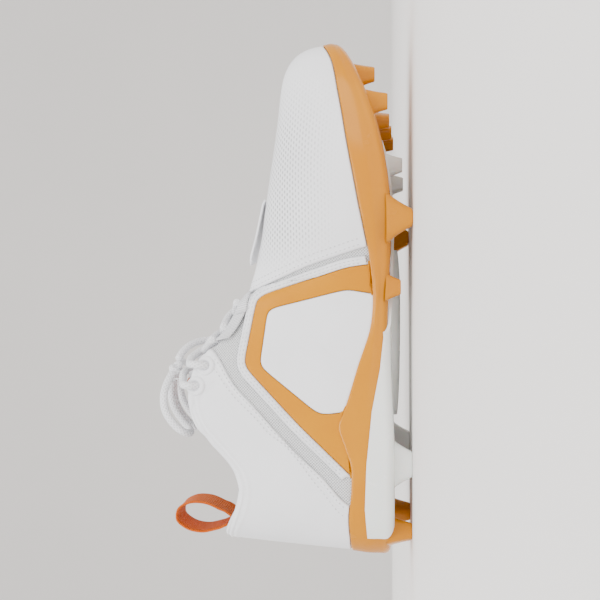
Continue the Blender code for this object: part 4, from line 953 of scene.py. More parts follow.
def build_ankle_shell():
    """The ankle shell's skin: a rolled collar bead, a groove round the eyelet panel and seams."""
    groove = softened(SHELL_GROOVE, 12, 2)
    grids = []
    maps = []
    for side in SIDES:
        u, v = slanted(side, SHELL_FRONT, False, 150, 110)
        base, out = patch(side, u, v)
        from_front = arc(base, 0)
        from_rand = arc(base, 1)
        from_edge = from_rand[:, -1:] - from_rand
        away = distance_to_line(base[..., [0, 2]], groove)
        lift = OVERLAY_TOP - rolled(from_front, *BORDER_ROLL) - rolled(from_rand, *RAND_ROLL)
        lift = lift - rolled(from_edge, *COLLAR_ROLL)
        for distance, lines in ((from_edge, COLLAR_BEADS), (away, GROOVE_CUTS), (from_front, FRONT_SEAMS)):
            for line in lines:
                lift = lift + ridge(distance, *line)
        grid = base + out * lift[..., None]
        flat = np.stack([base[..., 0], from_edge], axis=-1)
        if side == "lateral":
            grid = grid[::-1]
            flat = flat[::-1]
        grids.append(grid)
        maps.append(flat)
    return made("ankle_shell_skin", grids, "white_synthetic",
                replaces=("ankle_shell",), closed=False, uv=maps, wall=SKIN_WALL)


def paired_lines():
    """The two outlines sampled corner to corner, then their ends slid up to the rand."""
    outer = softened(FRAME_PATH, FRAME_STEPS, FRAME_SOFTNESS)
    inner = softened(PANE_PATH, FRAME_STEPS, FRAME_SOFTNESS)
    lines = []
    for line in (outer, inner):
        above = line[:, 1] - rand_top(line[:, 0]) - RAND_CLEARANCE
        lift = np.where(above < 0, -above, 0)
        lines.append(line + np.stack([np.zeros_like(lift), lift], axis=1))
    return lines


def build_quarters(sizes):
    """The amber frame between two outlines, the pane inside it and the white piping round it."""
    pieces = []
    for side in SIDES:
        outer, inner = paired_lines()
        across = eased(16, 0.6)[None, :, None]
        flat = outer[:, None] + (inner - outer)[:, None] * across
        for end in (0, -1):
            flat[end, :, 1] = rand_top(flat[end, :, 0]) - TUCK
        width = np.linalg.norm(inner - outer, axis=1)[:, None]
        border = np.minimum(across[..., 0], 1 - across[..., 0]) * width
        lift = OVERLAY_TOP - 0.0002 - rolled(border, 0.0012, 0.0008)
        grid, _ = on_side(side, flat, lift)
        if side == "medial":
            grid = grid[::-1]
        pieces.append(made("frame_film_" + side, [grid], "amber_film",
                           replaces=("quarter_frame_" + side,), closed=False, wall=FILM_WALL))
        pieces.append(build_pane(side, inner))
        pieces.append(build_piping(side, outer, sizes))
    return pieces


def build_pane(side, inner):
    """The pane: its outline drawn in to a middle point in rings, gently crowned."""
    start, end = inner[-1], inner[0]
    t = np.linspace(0, 1, 40)[1:-1, None]
    bottom = start + (end - start) * t
    loop = np.concatenate([inner, bottom])
    low = loop[:, 1] < rand_top(loop[:, 0]) + 0.0015
    low[len(inner):] = True
    loop[low, 1] = rand_top(loop[low, 0]) - TUCK
    middle = loop.mean(axis=0)
    reach = np.array(PANE_RINGS)[None, :, None]
    flat = middle + (loop - middle)[:, None] * reach
    border = (1 - reach[..., 0]) * np.linalg.norm(loop - middle, axis=1)[:, None]
    lift = OVERLAY_TOP - 0.0001 - rolled(border, 0.0016, 0.0011) + 0.0006 * np.clip(border / 0.03, 0, 1)
    grid, _ = on_side(side, flat, lift)
    if side == "lateral":
        grid = grid[::-1]
    return made("pane_skin_" + side, [grid], "white_synthetic",
                replaces=("quarter_pane_" + side,), closed=False, wrap=(True, False), wall=FILM_WALL)


def build_piping(side, outer, sizes):
    """White piping along the frame's outer line, with a rounded top, and its two stitch rows."""
    line = resampled(outer[3:-1], PIPING_POINTS)
    width = metres(sizes.piping_width)
    across = np.linspace(0, 1, 15)[None, :]
    wide = widened(line, width)
    flat = line[:, None] + (wide - line)[:, None] * across[..., None]
    steps = np.arange(PIPING_POINTS)
    taper = np.clip(np.minimum(steps, steps[::-1]) / 4, 0, 1)[:, None]
    crown = 1 - np.abs(2 * across - 1) ** 6
    groove = 0.0004 * sum(ridge(across, row, 0.05, 1.0) for row in PIPING_ROWS)
    lift = 0.0006 + 0.0016 * crown * taper - groove * taper
    grid, out = on_side(side, flat, lift)
    if side == "medial":
        grid = grid[::-1]
    piece = made("piping_" + side, [grid[:, ::-1]], "piping",
                 closed=False, wall=(0.0006, -1.0))
    rows = []
    for share in PIPING_ROWS:
        path = line + (wide - line) * share
        spots, ups = on_side(side, path[6:-6, None], 0.00200)
        rows += bead_rows(spots[:, 0], ups[:, 0], metres(sizes.piping_pitch), metres(sizes.stitch_length),
                          metres(sizes.stitch_radius))
    made("piping_stitches_" + side, rows, "thread", wrap=(False, True), weld=False)
    return piece


def build_seams(sizes):
    """Stitch rows along the vamp's rear edge and the ankle shell's front edge."""
    rows = []
    for side in SIDES:
        for line, toe, offsets in SEAM_ROWS:
            u, v = slanted(side, line, toe, 150, 110)
            base, out = patch(side, u, v)
            distance = arc(base, 0)
            for offset in offsets:
                share = np.array([np.interp(offset, distance[:, j], np.arange(len(distance)))
                                  for j in range(distance.shape[1])])
                low = np.floor(share).astype(int)
                part = (share - low)[:, None]
                column = np.arange(distance.shape[1])
                path = base[low, column] * (1 - part) + base[low + 1, column] * part
                ups = out[low, column]
                path = path + ups * (OVERLAY_TOP + 0.00005)
                cut = slice(6, -8) if toe else slice(4, -6)
                rows += bead_rows(path[cut], ups[cut], metres(sizes.seam_pitch), metres(sizes.stitch_length),
                                  metres(sizes.stitch_radius))
    return made("seam_stitches", rows, "thread", wrap=(False, True), weld=False)


def sole_section(side, u):
    """Outsole section: flat from the spine, a rounded corner of 5 mm, up the rand and over its edge."""
    x_spine = (SPINE_START + (SPINE_END - SPINE_START) * (1 - np.cos(math.pi * u)) / 2) * LENGTH
    y_spine = TIP_SIDE * BALL_WIDTH * (x_spine / LENGTH) ** 2
    foot = surface(side, u, np.array([0.0]))[:, 0]
    out = normals(side, u, np.array([0.004]))[:, 0] * np.array([1.0, 1.0, 0.0])
    out = out / np.linalg.norm(out, axis=-1, keepdims=True)
    edge = foot + out * (RAND_THICKNESS + GAP)
    spine = np.stack([x_spine, y_spine, plate_top(x_spine)], axis=-1)
    outer = []
    inner_edge = edge - out * CORNER_REACH
    for share in np.linspace(0, 1, 9):
        spot = spine + (inner_edge - spine) * share
        spot[:, 2] = plate_top(spot[:, 0]) - PLATE_THICKNESS
        outer.append(spot)
    for angle in np.linspace(0, math.pi / 2, 8)[1:]:
        spot = edge - out * CORNER_REACH * (1 - math.sin(angle))
        spot[:, 2] = plate_top(spot[:, 0]) - PLATE_THICKNESS + CORNER_RISE * (1 - math.cos(angle))
        outer.append(spot)
    top = v_at_height(side, u, rand_top(foot[:, 0]))
    for share in np.linspace(0.06, 0.95, 12):
        swell = RAND_SWELL * math.sin(math.pi * share) ** 2
        outer.append(lifted(side, u, (top * share)[:, None], RAND_THICKNESS + GAP + swell)[:, 0])
    for share, lift in ((0.985, 0.93), (1.0, 0.72), (1.006, 0.45), (1.0, 0.15)):
        outer.append(lifted(side, u, np.clip(top * share, 0, 1)[:, None], RAND_THICKNESS * lift + GAP)[:, 0])
    inner = [spine.copy()]
    for share in (0.5, 1.0):
        spot = spine + (foot + out * GAP - spine) * share
        spot[:, 2] = plate_top(spot[:, 0])
        inner.append(spot)
    for share in (0.5, 0.95):
        inner.append(lifted(side, u, (top * share)[:, None], GAP * 1.2)[:, 0])
    return np.stack(outer, axis=1), np.stack(inner, axis=1)


def stud_grid(row, root):
    """One stud: superellipse rings from a flared foot through a tapering wall to a rounded flat tip."""
    values = dict(zip(STUD_COLUMNS, row))
    x = values["x"] * LENGTH
    y = values["y"] * BALL_WIDTH
    ground = float(plate_top(x)) - PLATE_THICKNESS - STUD_HEIGHT * values["height"]
    ground = max(ground, 0.0)
    turn = math.radians(values["turn"])
    angles = (np.arange(STUD_SIDES) + 0.5) * math.tau / STUD_SIDES
    rings = []
    for share, depth in STUD_PROFILE:
        long = STUD_LENGTH * (values["tip_long"] + (values["long"] - values["tip_long"]) * share) / 2
        wide = STUD_WIDTH * (values["tip_wide"] + (values["wide"] - values["tip_wide"]) * share) / 2
        across = np.sign(np.cos(angles)) * np.abs(np.cos(angles)) ** STUD_ROUNDNESS * long
        aside = np.sign(np.sin(angles)) * np.abs(np.sin(angles)) ** STUD_ROUNDNESS * wide
        px = x + across * math.cos(turn) - aside * math.sin(turn)
        py = y + across * math.sin(turn) + aside * math.cos(turn)
        foot = plate_top(px) - PLATE_THICKNESS + root
        rings.append(np.stack([px, py, foot + (ground - foot) * depth], axis=-1))
    tip = rings[-1].mean(axis=0)
    for share in (0.5, 0.0):
        rings.append(tip + (rings[-1] - tip) * share)
    return np.array(rings)[:, ::-1]


def build_outsole():
    """Plate and rand as one closed loft, and its studs with flared feet."""
    u = np.linspace(0, 1, 240)
    loops = []
    for side in SIDES:
        outer, inner = sole_section(side, u)
        loop = np.concatenate([outer, inner[:, ::-1]], axis=1)
        loops.append(loop if side == "lateral" else loop[::-1])
    body = made("outsole_body", loops, "amber_plastic", replaces=("outsole",))
    studs = [stud_grid(row, PLATE_THICKNESS * 0.3) for row in AMBER_STUDS]
    made("outsole_studs", studs, "amber_plastic", wrap=(False, True))
    return body


def closed_curve(rows, steps):
    """Catmull-Rom curve through plan points given as shares of the length and the ball width."""
    loop = np.array(rows) * np.array([LENGTH, BALL_WIDTH])
    t = (np.arange(steps) / steps)[None, :, None]
    p = [np.roll(loop, -k, axis=0)[:, None] for k in (-1, 0, 1, 2)]
    found = 0.5 * (2 * p[1] + (p[2] - p[0]) * t + (2 * p[0] - 5 * p[1] + 4 * p[2] - p[3]) * t ** 2
                   + (3 * p[1] - p[0] - 3 * p[2] + p[3]) * t ** 3)
    return found.reshape(-1, 2)


def turned_out(name, verts, faces, weld=False):
    """An object that only serves a cut, with its faces turned outwards."""
    mesh = bpy.data.meshes.new(name)
    mesh.from_pydata(verts.tolist(), [], faces)
    work = bmesh.new()
    work.from_mesh(mesh)
    if weld:
        bmesh.ops.remove_doubles(work, verts=work.verts, dist=WELD)
    bmesh.ops.recalc_face_normals(work, faces=work.faces)
    work.to_mesh(mesh)
    work.free()
    item = bpy.data.objects.new(name, mesh)
    bpy.context.scene.collection.objects.link(item)
    return item


def prism(name, outline, along):
    """A cutter with a flat outline, drawn in the side view (Y) or the plan (Z)."""
    low, high = (-0.08, 0.08) if along == "Y" else (-0.02, 0.08)
    order = [0, 2, 1] if along == "Y" else [0, 1, 2]
    outline = np.asarray(outline, float)
    rings = [np.column_stack([outline, np.full(len(outline), level)])[:, order] for level in (low, high)]
    verts = np.concatenate(rings) - SHIFT
    n = len(outline)
    faces = [list(range(n)), list(range(2 * n - 1, n - 1, -1))]
    faces += [[i, i + n, (i + 1) % n + n, (i + 1) % n] for i in range(n)]
    return turned_out(name, verts, faces)


def build_shank():
    """The white plate: the outsole's underside moved out, cut by its outlines, with keel and studs."""
    u = np.linspace(0, 1, 150)
    u = u[u < SHANK_END]
    lateral = sole_section("lateral", u)[0][:, :SHANK_COLUMNS]
    medial = sole_section("medial", u)[0][:, :SHANK_COLUMNS]
    across = np.concatenate([medial[:, :0:-1], lateral], axis=1)
    along = np.gradient(across, axis=0)
    aside = np.gradient(across, axis=1)
    out = np.cross(aside, along)
    out = out / np.maximum(1e-12, np.linalg.norm(out, axis=-1, keepdims=True))
    centre = across.shape[1] // 2
    if out[len(u) // 2, centre + 2, 2] > 0:
        out = -out
    out[:, centre] = out[:, centre + 1]
    back = (out[0] + out[0][::-1]) * np.array([1.0, 0.0, 1.0])
    out[0] = back / np.maximum(1e-12, np.linalg.norm(back, axis=-1, keepdims=True))
    near = across + out * GAP
    far = across + out * (GAP + SHANK_THICKNESS)
    shell = np.concatenate([near, far[:, ::-1]], axis=1)
    closed = np.concatenate([shell, shell[:, :1]], axis=1)
    verts = closed.reshape(-1, 3) - SHIFT
    n, m = closed.shape[:2]
    quads = grid_faces(n, m, False, False, 0).tolist()
    half = near.shape[1]
    last = (n - 1) * m
    beyond = last + 2 * half - 1
    end = [[last + j, last + j + 1, beyond - 1 - j, beyond - j] for j in range(half - 1)]
    sheet = turned_out("shank_sheet", verts, quads + end, weld=True)
    cutters = [(prism("cut_plan", closed_curve(SHANK_OUTLINE, 8), "Z"), "INTERSECT"),
               (prism("cut_side", shares(SHANK_SIDE), "Y"), "INTERSECT"),
               (prism("cut_scoop", closed_curve(SHANK_SCOOP, 8), "Z"), "DIFFERENCE")]
    cutters += [(prism("cut_lens_%d" % i, closed_curve(rows, 8), "Z"), "DIFFERENCE")
                for i, rows in enumerate(SHANK_LENSES)]
    for cutter, operation in cutters:
        step = sheet.modifiers.new(cutter.name, "BOOLEAN")
        step.operation = operation
        step.solver = "EXACT"
        step.object = cutter
    depsgraph = bpy.context.evaluated_depsgraph_get()
    cut_mesh = bpy.data.meshes.new_from_object(sheet.evaluated_get(depsgraph))
    cut_mesh.name = "shank_skin"
    cut_mesh.materials.clear()
    for item in [sheet] + [pair[0] for pair in cutters]:
        bpy.data.objects.remove(item, do_unlink=True)
    plate = finished("shank_skin", cut_mesh, "white_plastic", replaces=("shank_plate",))
    cut_mesh.set_sharp_from_angle(angle=math.radians(40))
    studs = [stud_grid(row, -GAP - SHANK_THICKNESS * 0.6) for row in WHITE_STUDS]
    made("shank_studs", studs, "white_plastic", wrap=(False, True))
    share = np.linspace(0, 1, 40)
    full = np.sin(math.pi * (0.06 + 0.88 * share))
    x = (KEEL["start"] + (KEEL["end"] - KEEL["start"]) * share) * LENGTH
    half_width = KEEL["width"] * BALL_WIDTH * full / 2
    foot = plate_top(x) - PLATE_THICKNESS - GAP - SHANK_THICKNESS * 0.5
    drop = SHANK_THICKNESS + KEEL["depth"] * STUD_HEIGHT * full ** 0.7
    angle = np.linspace(0, math.pi, 13)
    y = KEEL["y"] * BALL_WIDTH + np.cos(angle)[None] * half_width[:, None]
    z = foot[:, None] - drop[:, None] * np.sin(angle)[None] ** 0.9
    keel = np.stack([np.broadcast_to(x[:, None], y.shape), y, z], axis=-1)
    tips = [ring.mean(axis=1, keepdims=True) + 0 * ring for ring in (keel[:1], keel[-1:])]
    made("shank_keel", [np.concatenate([tips[0], keel, tips[1]])], "white_plastic",
         wrap=(False, True))
    return plate


def tongue_rows():
    """Outer face of the tongue: wings under the throat's edges and a low dome between them."""
    cad_levels = np.linspace(THROAT_REAR, THROAT_FRONT, 12)
    u = cad_levels[(cad_levels > 0.455) & (cad_levels < 0.525)][::-1]
    wings = np.array([0.82, 0.90, 0.97])
    under = -(UPPER_WALL + 0.0016)
    medial = lifted("medial", u, wings, under)
    lateral = lifted("lateral", u, wings, under)[:, ::-1]
    start = medial[:, -1:]
    end = lateral[:, :1]
    share = np.array([0.17, 0.34, 0.5, 0.66, 0.83])[None, :, None]
    dome = start + (end - start) * share
    rise = np.linalg.norm(end - start, axis=-1, keepdims=True) * 0.085
    dome = dome + np.array([-0.55, 0.0, 0.83]) * rise * 4 * share * (1 - share)
    rows = np.concatenate([medial, dome, lateral], axis=1)
    centre = rows.mean(axis=1, keepdims=True)
    rows = (rows - centre) * np.array([1.0, 0.86, 1.0]) + centre
    last = rows[-1]
    middle = last.mean(axis=0)
    for back, rise, width in TONGUE_TOP:
        row = (last - middle) * np.array([1.0, width, 0.75]) + middle + np.array([-back, 0.0, rise])
        rows = np.concatenate([rows, row[None]], axis=0)
    return rows


def refined(rows, count_n, count_m):
    """A coarse grid read smoothly along both of its directions."""
    n, m = rows.shape[:2]
    first = np.stack([smooth(np.arange(m), row, np.linspace(0, m - 1, count_m)) for row in
                      rows.transpose(0, 2, 1).reshape(-1, m)]).reshape(n, 3, count_m).transpose(0, 2, 1)
    flat = first.reshape(n, -1)
    levels = np.linspace(0, n - 1, count_n)
    second = np.stack([smooth(np.arange(n), column, levels) for column in flat.T], axis=1)
    return second.reshape(count_n, count_m, 3)


def build_tongue():
    """The padded tongue, with a rounded rim, and the orange tab at its top."""
    grid = refined(tongue_rows(), 60, 56)
    uv = np.stack([arc(grid, 0), arc(grid, 1)], axis=-1)
    piece = made("tongue_pad", [grid], "lining", replaces=("tongue",), closed=False, uv=[uv])
    solid = piece.modifiers.new("wall", "SOLIDIFY")
    solid.thickness = TONGUE_THICKNESS * 0.9
    solid.offset = -1.0
    round_rim = piece.modifiers.new("rim", "BEVEL")
    round_rim.width = 0.0012
    round_rim.segments = 3
    round_rim.limit_method = "ANGLE"
    round_rim.angle_limit = math.radians(60)
    t = np.linspace(0, 1, 26)
    w = np.linspace(-0.5, 0.5, 14)
    top = grid[-1, 28]
    path = np.array([(top[0] + ahead, top[1], top[2] + rise) for ahead, rise in TAB_ROUTE])
    line = np.stack([smooth(np.linspace(0, 1, len(path)), path[:, k], t) for k in range(3)], axis=-1)
    bow = (2 * w) ** 2
    band = line[:, None] + np.stack([-TAB_BOW[0] * bow, w * TAB_WIDTH, -TAB_BOW[1] * bow], axis=-1)[None]
    made("tongue_tab", [band], "orange_webbing", closed=False, wall=(0.0008, 1.0),
         uv=[np.stack(np.broadcast_arrays((t * TAB_LENGTH)[:, None], (w * TAB_WIDTH)[None]), axis=-1)])
    return piece


def build_insole():
    """A fine bed over the plate, just above the solid's own top."""
    rows = []
    u = np.linspace(0, 1, 120)
    for side in SIDES:
        inner = sole_section(side, u)[1]
        spine = inner[:, 0]
        foot = surface(side, u, np.array([0.0]))[:, 0]
        out = normals(side, u, np.array([0.004]))[:, 0] * np.array([1.0, 1.0, 0.0])
        edge = foot - out * (UPPER_WALL + 3 * GAP)
        layers = []
        for lift, shares_at in ((GAP * 1.5, (0.0, 0.5, 1.0)), (INSOLE_TOP, (1.0, 0.93, 0.85, 0.6, 0.3, 0.0))):
            for share in shares_at:
                spot = spine + (edge - spine) * share
                cup = INSOLE_CUP * max(0.0, share - 0.8) / 0.2 if lift == INSOLE_TOP else 0.0
                spot[:, 2] = plate_top(spot[:, 0]) + lift + cup
                layers.append(spot)
        loop = np.stack(layers, axis=1)
        rows.append(loop if side == "lateral" else loop[::-1])
    uv = [np.stack([loop[..., 0], loop[..., 1]], axis=-1) for loop in rows]
    return made("insole_bed", rows, "lining", replaces=("insole",), uv=uv)


def eyelet_spots():
    """Each eyelet's place and normal on the upper's outer face."""
    found = {}
    for side in SIDES:
        for index, (x, z) in enumerate(EYELETS):
            u, v = locate(side, np.array([x * LENGTH]), np.array([z * COLLAR_HEIGHT]))
            found[side, index] = (surface(side, u, v[:, None])[0, 0], normals(side, u, v[:, None])[0, 0])
    return found


def build_eyelets(sizes):
    """Soft raised rings: a flattened torus turned onto the shell's normal."""
    angle = np.arange(40) * math.tau / 40
    wire = np.arange(14) * math.tau / 14
    for (side, index), (spot, normal) in eyelet_spots().items():
        across = np.cross(normal, [0.0, 0.0, 1.0])
        across = across / np.linalg.norm(across)
        up = np.cross(across, normal)
        reach = metres(sizes.eyelet_radius) - 0.0002 + 0.0016 * np.cos(wire)
        high = 0.0011 * np.sin(wire)
        ring = (spot + normal * (OVERLAY_TOP + 0.0002) + (across * np.cos(angle)[:, None, None]
                + up * np.sin(angle)[:, None, None]) * reach[None, :, None] + normal * high[None, :, None])
        name = "eyelet_%s_%d" % (side, index + 1)
        made(name + "_ring", [ring], "white_synthetic", replaces=(name,),
             wrap=(True, True))
        rim = np.linspace(0, 1, 5)
        hole = (spot + normal * (OVERLAY_TOP - 0.0008 - 0.0012 * (1 - rim[None, :, None]) ** 2)
                + (across * np.cos(angle)[:, None, None] + up * np.sin(angle)[:, None, None])
                * (0.0030 * rim)[None, :, None])
        made(name + "_well", [hole], "lining", wrap=(True, False), closed=False)


def build_webbing():
    """Woven strips along the throat, hung over its edge."""
    for side in SIDES:
        for label, (start, end) in WEBBING_STRIPS.items():
            u = np.linspace(start - 0.001, end + 0.001, 26)
            v = np.linspace(0.78, 1.0, 22)
            base = surface(side, u, v)
            out = normals(side, u, v)
            rows = base + out * 0.0024
            step = rows[:, -1] - rows[:, -2]
            step = step / np.linalg.norm(step, axis=-1, keepdims=True)
            curl = np.linspace(0.25, 1, 6)[None, :, None]
            down = out[:, -1] * -1.0
            over = rows[:, -1:] + step[:, None] * 0.0022 * np.sin(curl * math.pi / 2) + down[:, None] * (
                0.0030 * (1 - np.cos(curl * math.pi / 2)))
            rows = np.concatenate([rows, over], axis=1)
            uv = np.stack([arc(rows, 0), arc(rows, 1)], axis=-1)
            if side == "medial":
                rows = rows[::-1]
                uv = uv[::-1]
            made("webbing_%s_%s_strip" % (label, side), [rows], "white_webbing",
                 replaces=("webbing_%s_%s" % (label, side),), closed=False, wall=(0.0012, 1.0), uv=[uv])


def build_vamp_loop():
    """The band on the vamp's ridge: its rear end stands off, its front end lies down."""
    u = np.linspace(BAND_START, BAND_END, 40)
    share = (BAND_END - u) / (BAND_END - BAND_START)
    v = np.linspace(0.87, 1.0, 12)
    grids = []
    for side in SIDES:
        base = surface(side, u, v)
        lift = 0.0021 + 0.0028 * share[:, None] ** 1.2 + 0 * v[None]
        ends = np.minimum(np.arange(40), np.arange(40)[::-1])[:, None] / 3
        lift = lift + 0.0009 * np.clip(ends, 0, 1) ** 0.5
        grid = base + normals(side, u, v) * lift[..., None]
        grids.append(grid if side == "lateral" else grid[::-1])
    return made("vamp_band", grids, "white_synthetic", replaces=("vamp_loop",),
                closed=False, wall=(0.0012, 1.0))


def build_pull_loop(sizes):
    """Heel loop: a flat band of ribbed webbing carried along its route, with bound edges."""
    foot = surface("lateral", np.array([0.0]), np.array([1.0]))[0, 0]
    width = metres(sizes.loop_width)
    height = metres(sizes.loop_height)
    route = [(foot[0] + UPPER_WALL + a * width, 0.0, foot[2] + b * height) for a, b in HEEL_LOOP]
    line = through(route, 0.0009)
    line[:, 1] = 0
    along = np.gradient(line, axis=0)
    side = np.stack([-along[:, 2], along[:, 1] * 0, along[:, 0]], axis=-1)
    side = side / np.linalg.norm(side, axis=-1, keepdims=True)
    w = np.linspace(-0.5, 0.5, 25)
    bow = 0.0012 * np.clip((foot[2] + 0.0060 - line[:, 2]) / 0.005, 0, 1)[:, None] * (2 * w[None]) ** 2
    edge = 0.0003 * np.exp(-((np.abs(w) - 0.46) / 0.025) ** 2)
    band = line[:, None] + side[:, None] * (edge[None, :, None] - WEBBING * 0.4)
    band = band + np.stack([bow, np.broadcast_to(w * width, bow.shape), 0 * bow], axis=-1)
    travelled = travel(line)
    uv = np.stack(np.broadcast_arrays(travelled[:, None], (w * width)[None]), axis=-1)
    return made("pull_loop_band", [band], "orange_webbing", replaces=("pull_loop",),
                closed=False, wall=(WEBBING * 0.85, 1.0), uv=[uv])


def lace_edge(side, u, radius):
    """A point on the lace where it lies on the throat's edge."""
    lift = 0.0016 + WEBBING + 2 * GAP + radius - 0.0009
    return lifted(side, np.array([u]), np.array([0.97]), lift)[0, 0]


def tube_piece(name, routes, look, radius, replaces=()):
    """Round laces along smooth routes, as one piece."""
    grids = []
    maps = []
    for route in routes:
        rings, uv = tube_grid(through(route, LACE_STEP), radius)
        grids.append(rings)
        maps.append(uv)
    return made(name, grids, look, replaces=replaces, uv=maps)


def build_laces(sizes):
    """Crossings over the tongue and through the eyelets, the knot, two loops and two ends."""
    radius = metres(sizes.lace_radius)
    spots = eyelet_spots()
    strands = []
    first = [lace_edge(side, LACE_ROWS[0], radius) for side in ("medial", "lateral")]
    strands.append([first[0], (first[0] + first[1]) / 2 + np.array([-0.001, 0, 0.0012]), first[1]])
    ends = [("medial", "lateral"), ("lateral", "medial")]
    for order, (start, end) in enumerate(ends):
        hop = 0.0030 * order
        for a, b in zip(LACE_ROWS[:-1], LACE_ROWS[1:]):
            low = lace_edge(start, a, radius)
            high = lace_edge(end, b, radius)
            strands.append([low, (low + high) / 2 + np.array([-0.001, 0, 0.0003 + hop]), high])
    brows = {}
    routes = {}
    for (side, index), (spot, normal) in spots.items():
        levels = np.linspace(THROAT_REAR, THROAT_FRONT, 12)
        u = np.interp(EYELETS[index][0] * LENGTH, station("head", levels) * LENGTH, levels)
        brow = surface(side, np.array([u]), np.array([1.0]))[0, 0] + np.array([0.0010, 0.0, 0.0043])
        brows[side, index] = brow
        shoulder = brow + np.array([0.0, SIDES[side] * 0.0034, -0.0012])
        over = spot + normal * 0.0052 + np.array([0.0, 0.0, 0.0030])
        routes[side, index] = [brow, shoulder, over, spot + normal * 0.0022, spot - normal * 0.0016]
    crests = {(side, index): brow * np.array([1.0, 0.60, 1.0]) + np.array(LACE_CRESTS[index])
              for (side, index), brow in brows.items()}
    for order, (start, end) in enumerate(ends):
        low = lace_edge(start, LACE_ROWS[-1], radius)
        middle = (low + crests[end, 0]) / 2 + np.array([-0.0010, 0.0, 0.0005 + 0.0028 * order])
        strands.append([low, middle, crests[end, 0]] + routes[end, 0])
    tube_piece("lace_crossing_strands", strands, "lace", radius, replaces=("lace_crossings",))
    middle = (crests["medial", 1] + crests["lateral", 1]) / 2 + np.array([0.0015, 0.0, 0.0010])
    bridge = [crests["medial", 1], middle, crests["lateral", 1]]
    top = routes["medial", 1][::-1] + bridge + routes["lateral", 1]
    tube_piece("lace_top_strand", [top], "lace", radius, replaces=("lace_top",))
    t = np.linspace(0, math.tau, 90)
    size = np.array(LACE_KNOT["size"]) - np.array([0.0019, 0.0019, 0.0018])
    wound = np.stack([np.sin(t) + 2 * np.sin(2 * t), np.cos(t) - 2 * np.cos(2 * t), -np.sin(3 * t)], axis=-1)
    wound = wound / np.abs(wound).max(axis=0) * size + np.array(LACE_KNOT["at"])
    rings, uv = tube_grid(wound, 0.0019, cap=False)
    knot = made("lace_knot_wound", [rings], "lace", replaces=("lace_knot",), uv=[uv])
    bar = np.array([LACE_KNOT["at"] + np.array([0.0, k * 0.0045, 0.0014]) for k in (-1.0, -0.4, 0.4, 1.0)])
    core = tube_piece("lace_knot_core", [bar], "lace", radius=0.0022)
    for name, route in LACE_ROUTES.items():
        path = through(route, LACE_STEP)
        rings, uv = tube_grid(path, radius)
        cord = made(name + "_cord", [rings], "lace", replaces=(name,), uv=[uv])
        partners = [knot, core] if name == "lace_loop_medial" else []
        if name.startswith("lace_end"):
            direction = path[-1] - path[-2]
            direction = direction / np.linalg.norm(direction)
            tip = np.array([path[-1] - direction * k for k in (0.0085, 0.006, 0.003, 0.0, -0.0006)])
            sheath, tip_uv = tube_grid(tip, radius * 1.06)
            partners = [made(name + "_tip", [sheath], "aglet", uv=[tip_uv])]


def build_stage(looks):
    """Pale floor that sweeps up into a backdrop, soft area lights and the camera."""
    t = np.linspace(0, 1, 60)
    y = np.concatenate([np.linspace(-2.5, 1.6, 30), 1.6 + 0.9 * np.sin(t * math.pi / 2), [2.5]])
    z = np.concatenate([np.zeros(30), 0.9 * (1 - np.cos(t * math.pi / 2)), [4.0]])
    x = np.linspace(-4.0, 4.0, 3)
    grid = np.stack(np.broadcast_arrays(x[:, None], y[None], z[None]), axis=-1)
    n, m = grid.shape[:2]
    mesh = bpy.data.meshes.new("floor")
    mesh.from_pydata(grid.reshape(-1, 3).tolist(), [], grid_faces(n, m, False, False, 0)[:, ::-1].tolist())
    mesh.materials.append(MATERIALS["pale_floor"])
    mesh.shade_smooth()
    floor = bpy.data.objects.new("floor", mesh)
    bpy.context.scene.collection.objects.link(floor)
    world = bpy.data.worlds.new("soft_room")
    bpy.context.scene.world = world
    world.use_nodes = True
    world.node_tree.nodes["Background"].inputs["Color"].default_value = ROOM_COLOUR
    world.node_tree.nodes["Background"].inputs["Strength"].default_value = looks.room_light
    for name, spot, size, share in LAMPS:
        light = bpy.data.lights.new(name, "AREA")
        light.energy = looks.key_light * share
        light.size = size
        lamp = bpy.data.objects.new(name, light)
        bpy.context.scene.collection.objects.link(lamp)
        lamp.location = spot
        lamp.rotation_euler = _aim(spot, LAMP_TARGET).to_euler()


def _aim(place, target):
    """Rotation that looks from a place to a target, with the shoe's toe as the picture's top."""
    ahead = (Vector(target) - Vector(place)).normalized()
    up = Vector((1.0, 0.0, 0.0))
    up = (up - ahead * up.dot(ahead)).normalized()
    right = ahead.cross(up)
    return Matrix((right, up, -ahead)).transposed()


def build_camera(view):
    """The camera at the photograph's angle, rolled so that the toe points up, and held above the floor."""
    place = (view.along, -view.distance, view.height)
    data = bpy.data.cameras.new("camera")
    data.lens = view.lens
    data.sensor_width = 36.0
    data.clip_start = 0.01
    camera = bpy.data.objects.new("camera", data)
    bpy.context.scene.collection.objects.link(camera)
    camera.location = place
    camera.rotation_euler = _aim(place, CAMERA_TARGET).to_euler()
    bpy.context.scene.camera = camera


# The add-on

def colour_property(name, description, default):
    """A colour that a user may change."""
    return bpy.props.FloatVectorProperty(name=name, description=description, size=3, subtype="COLOR",
                                         default=default, min=0, max=1)


def length_property(name, description, default, **limits):
    """A length in metres that a user may change."""
    return bpy.props.FloatProperty(name=name, description=description, subtype="DISTANCE", precision=5,
                                   default=default, **limits)


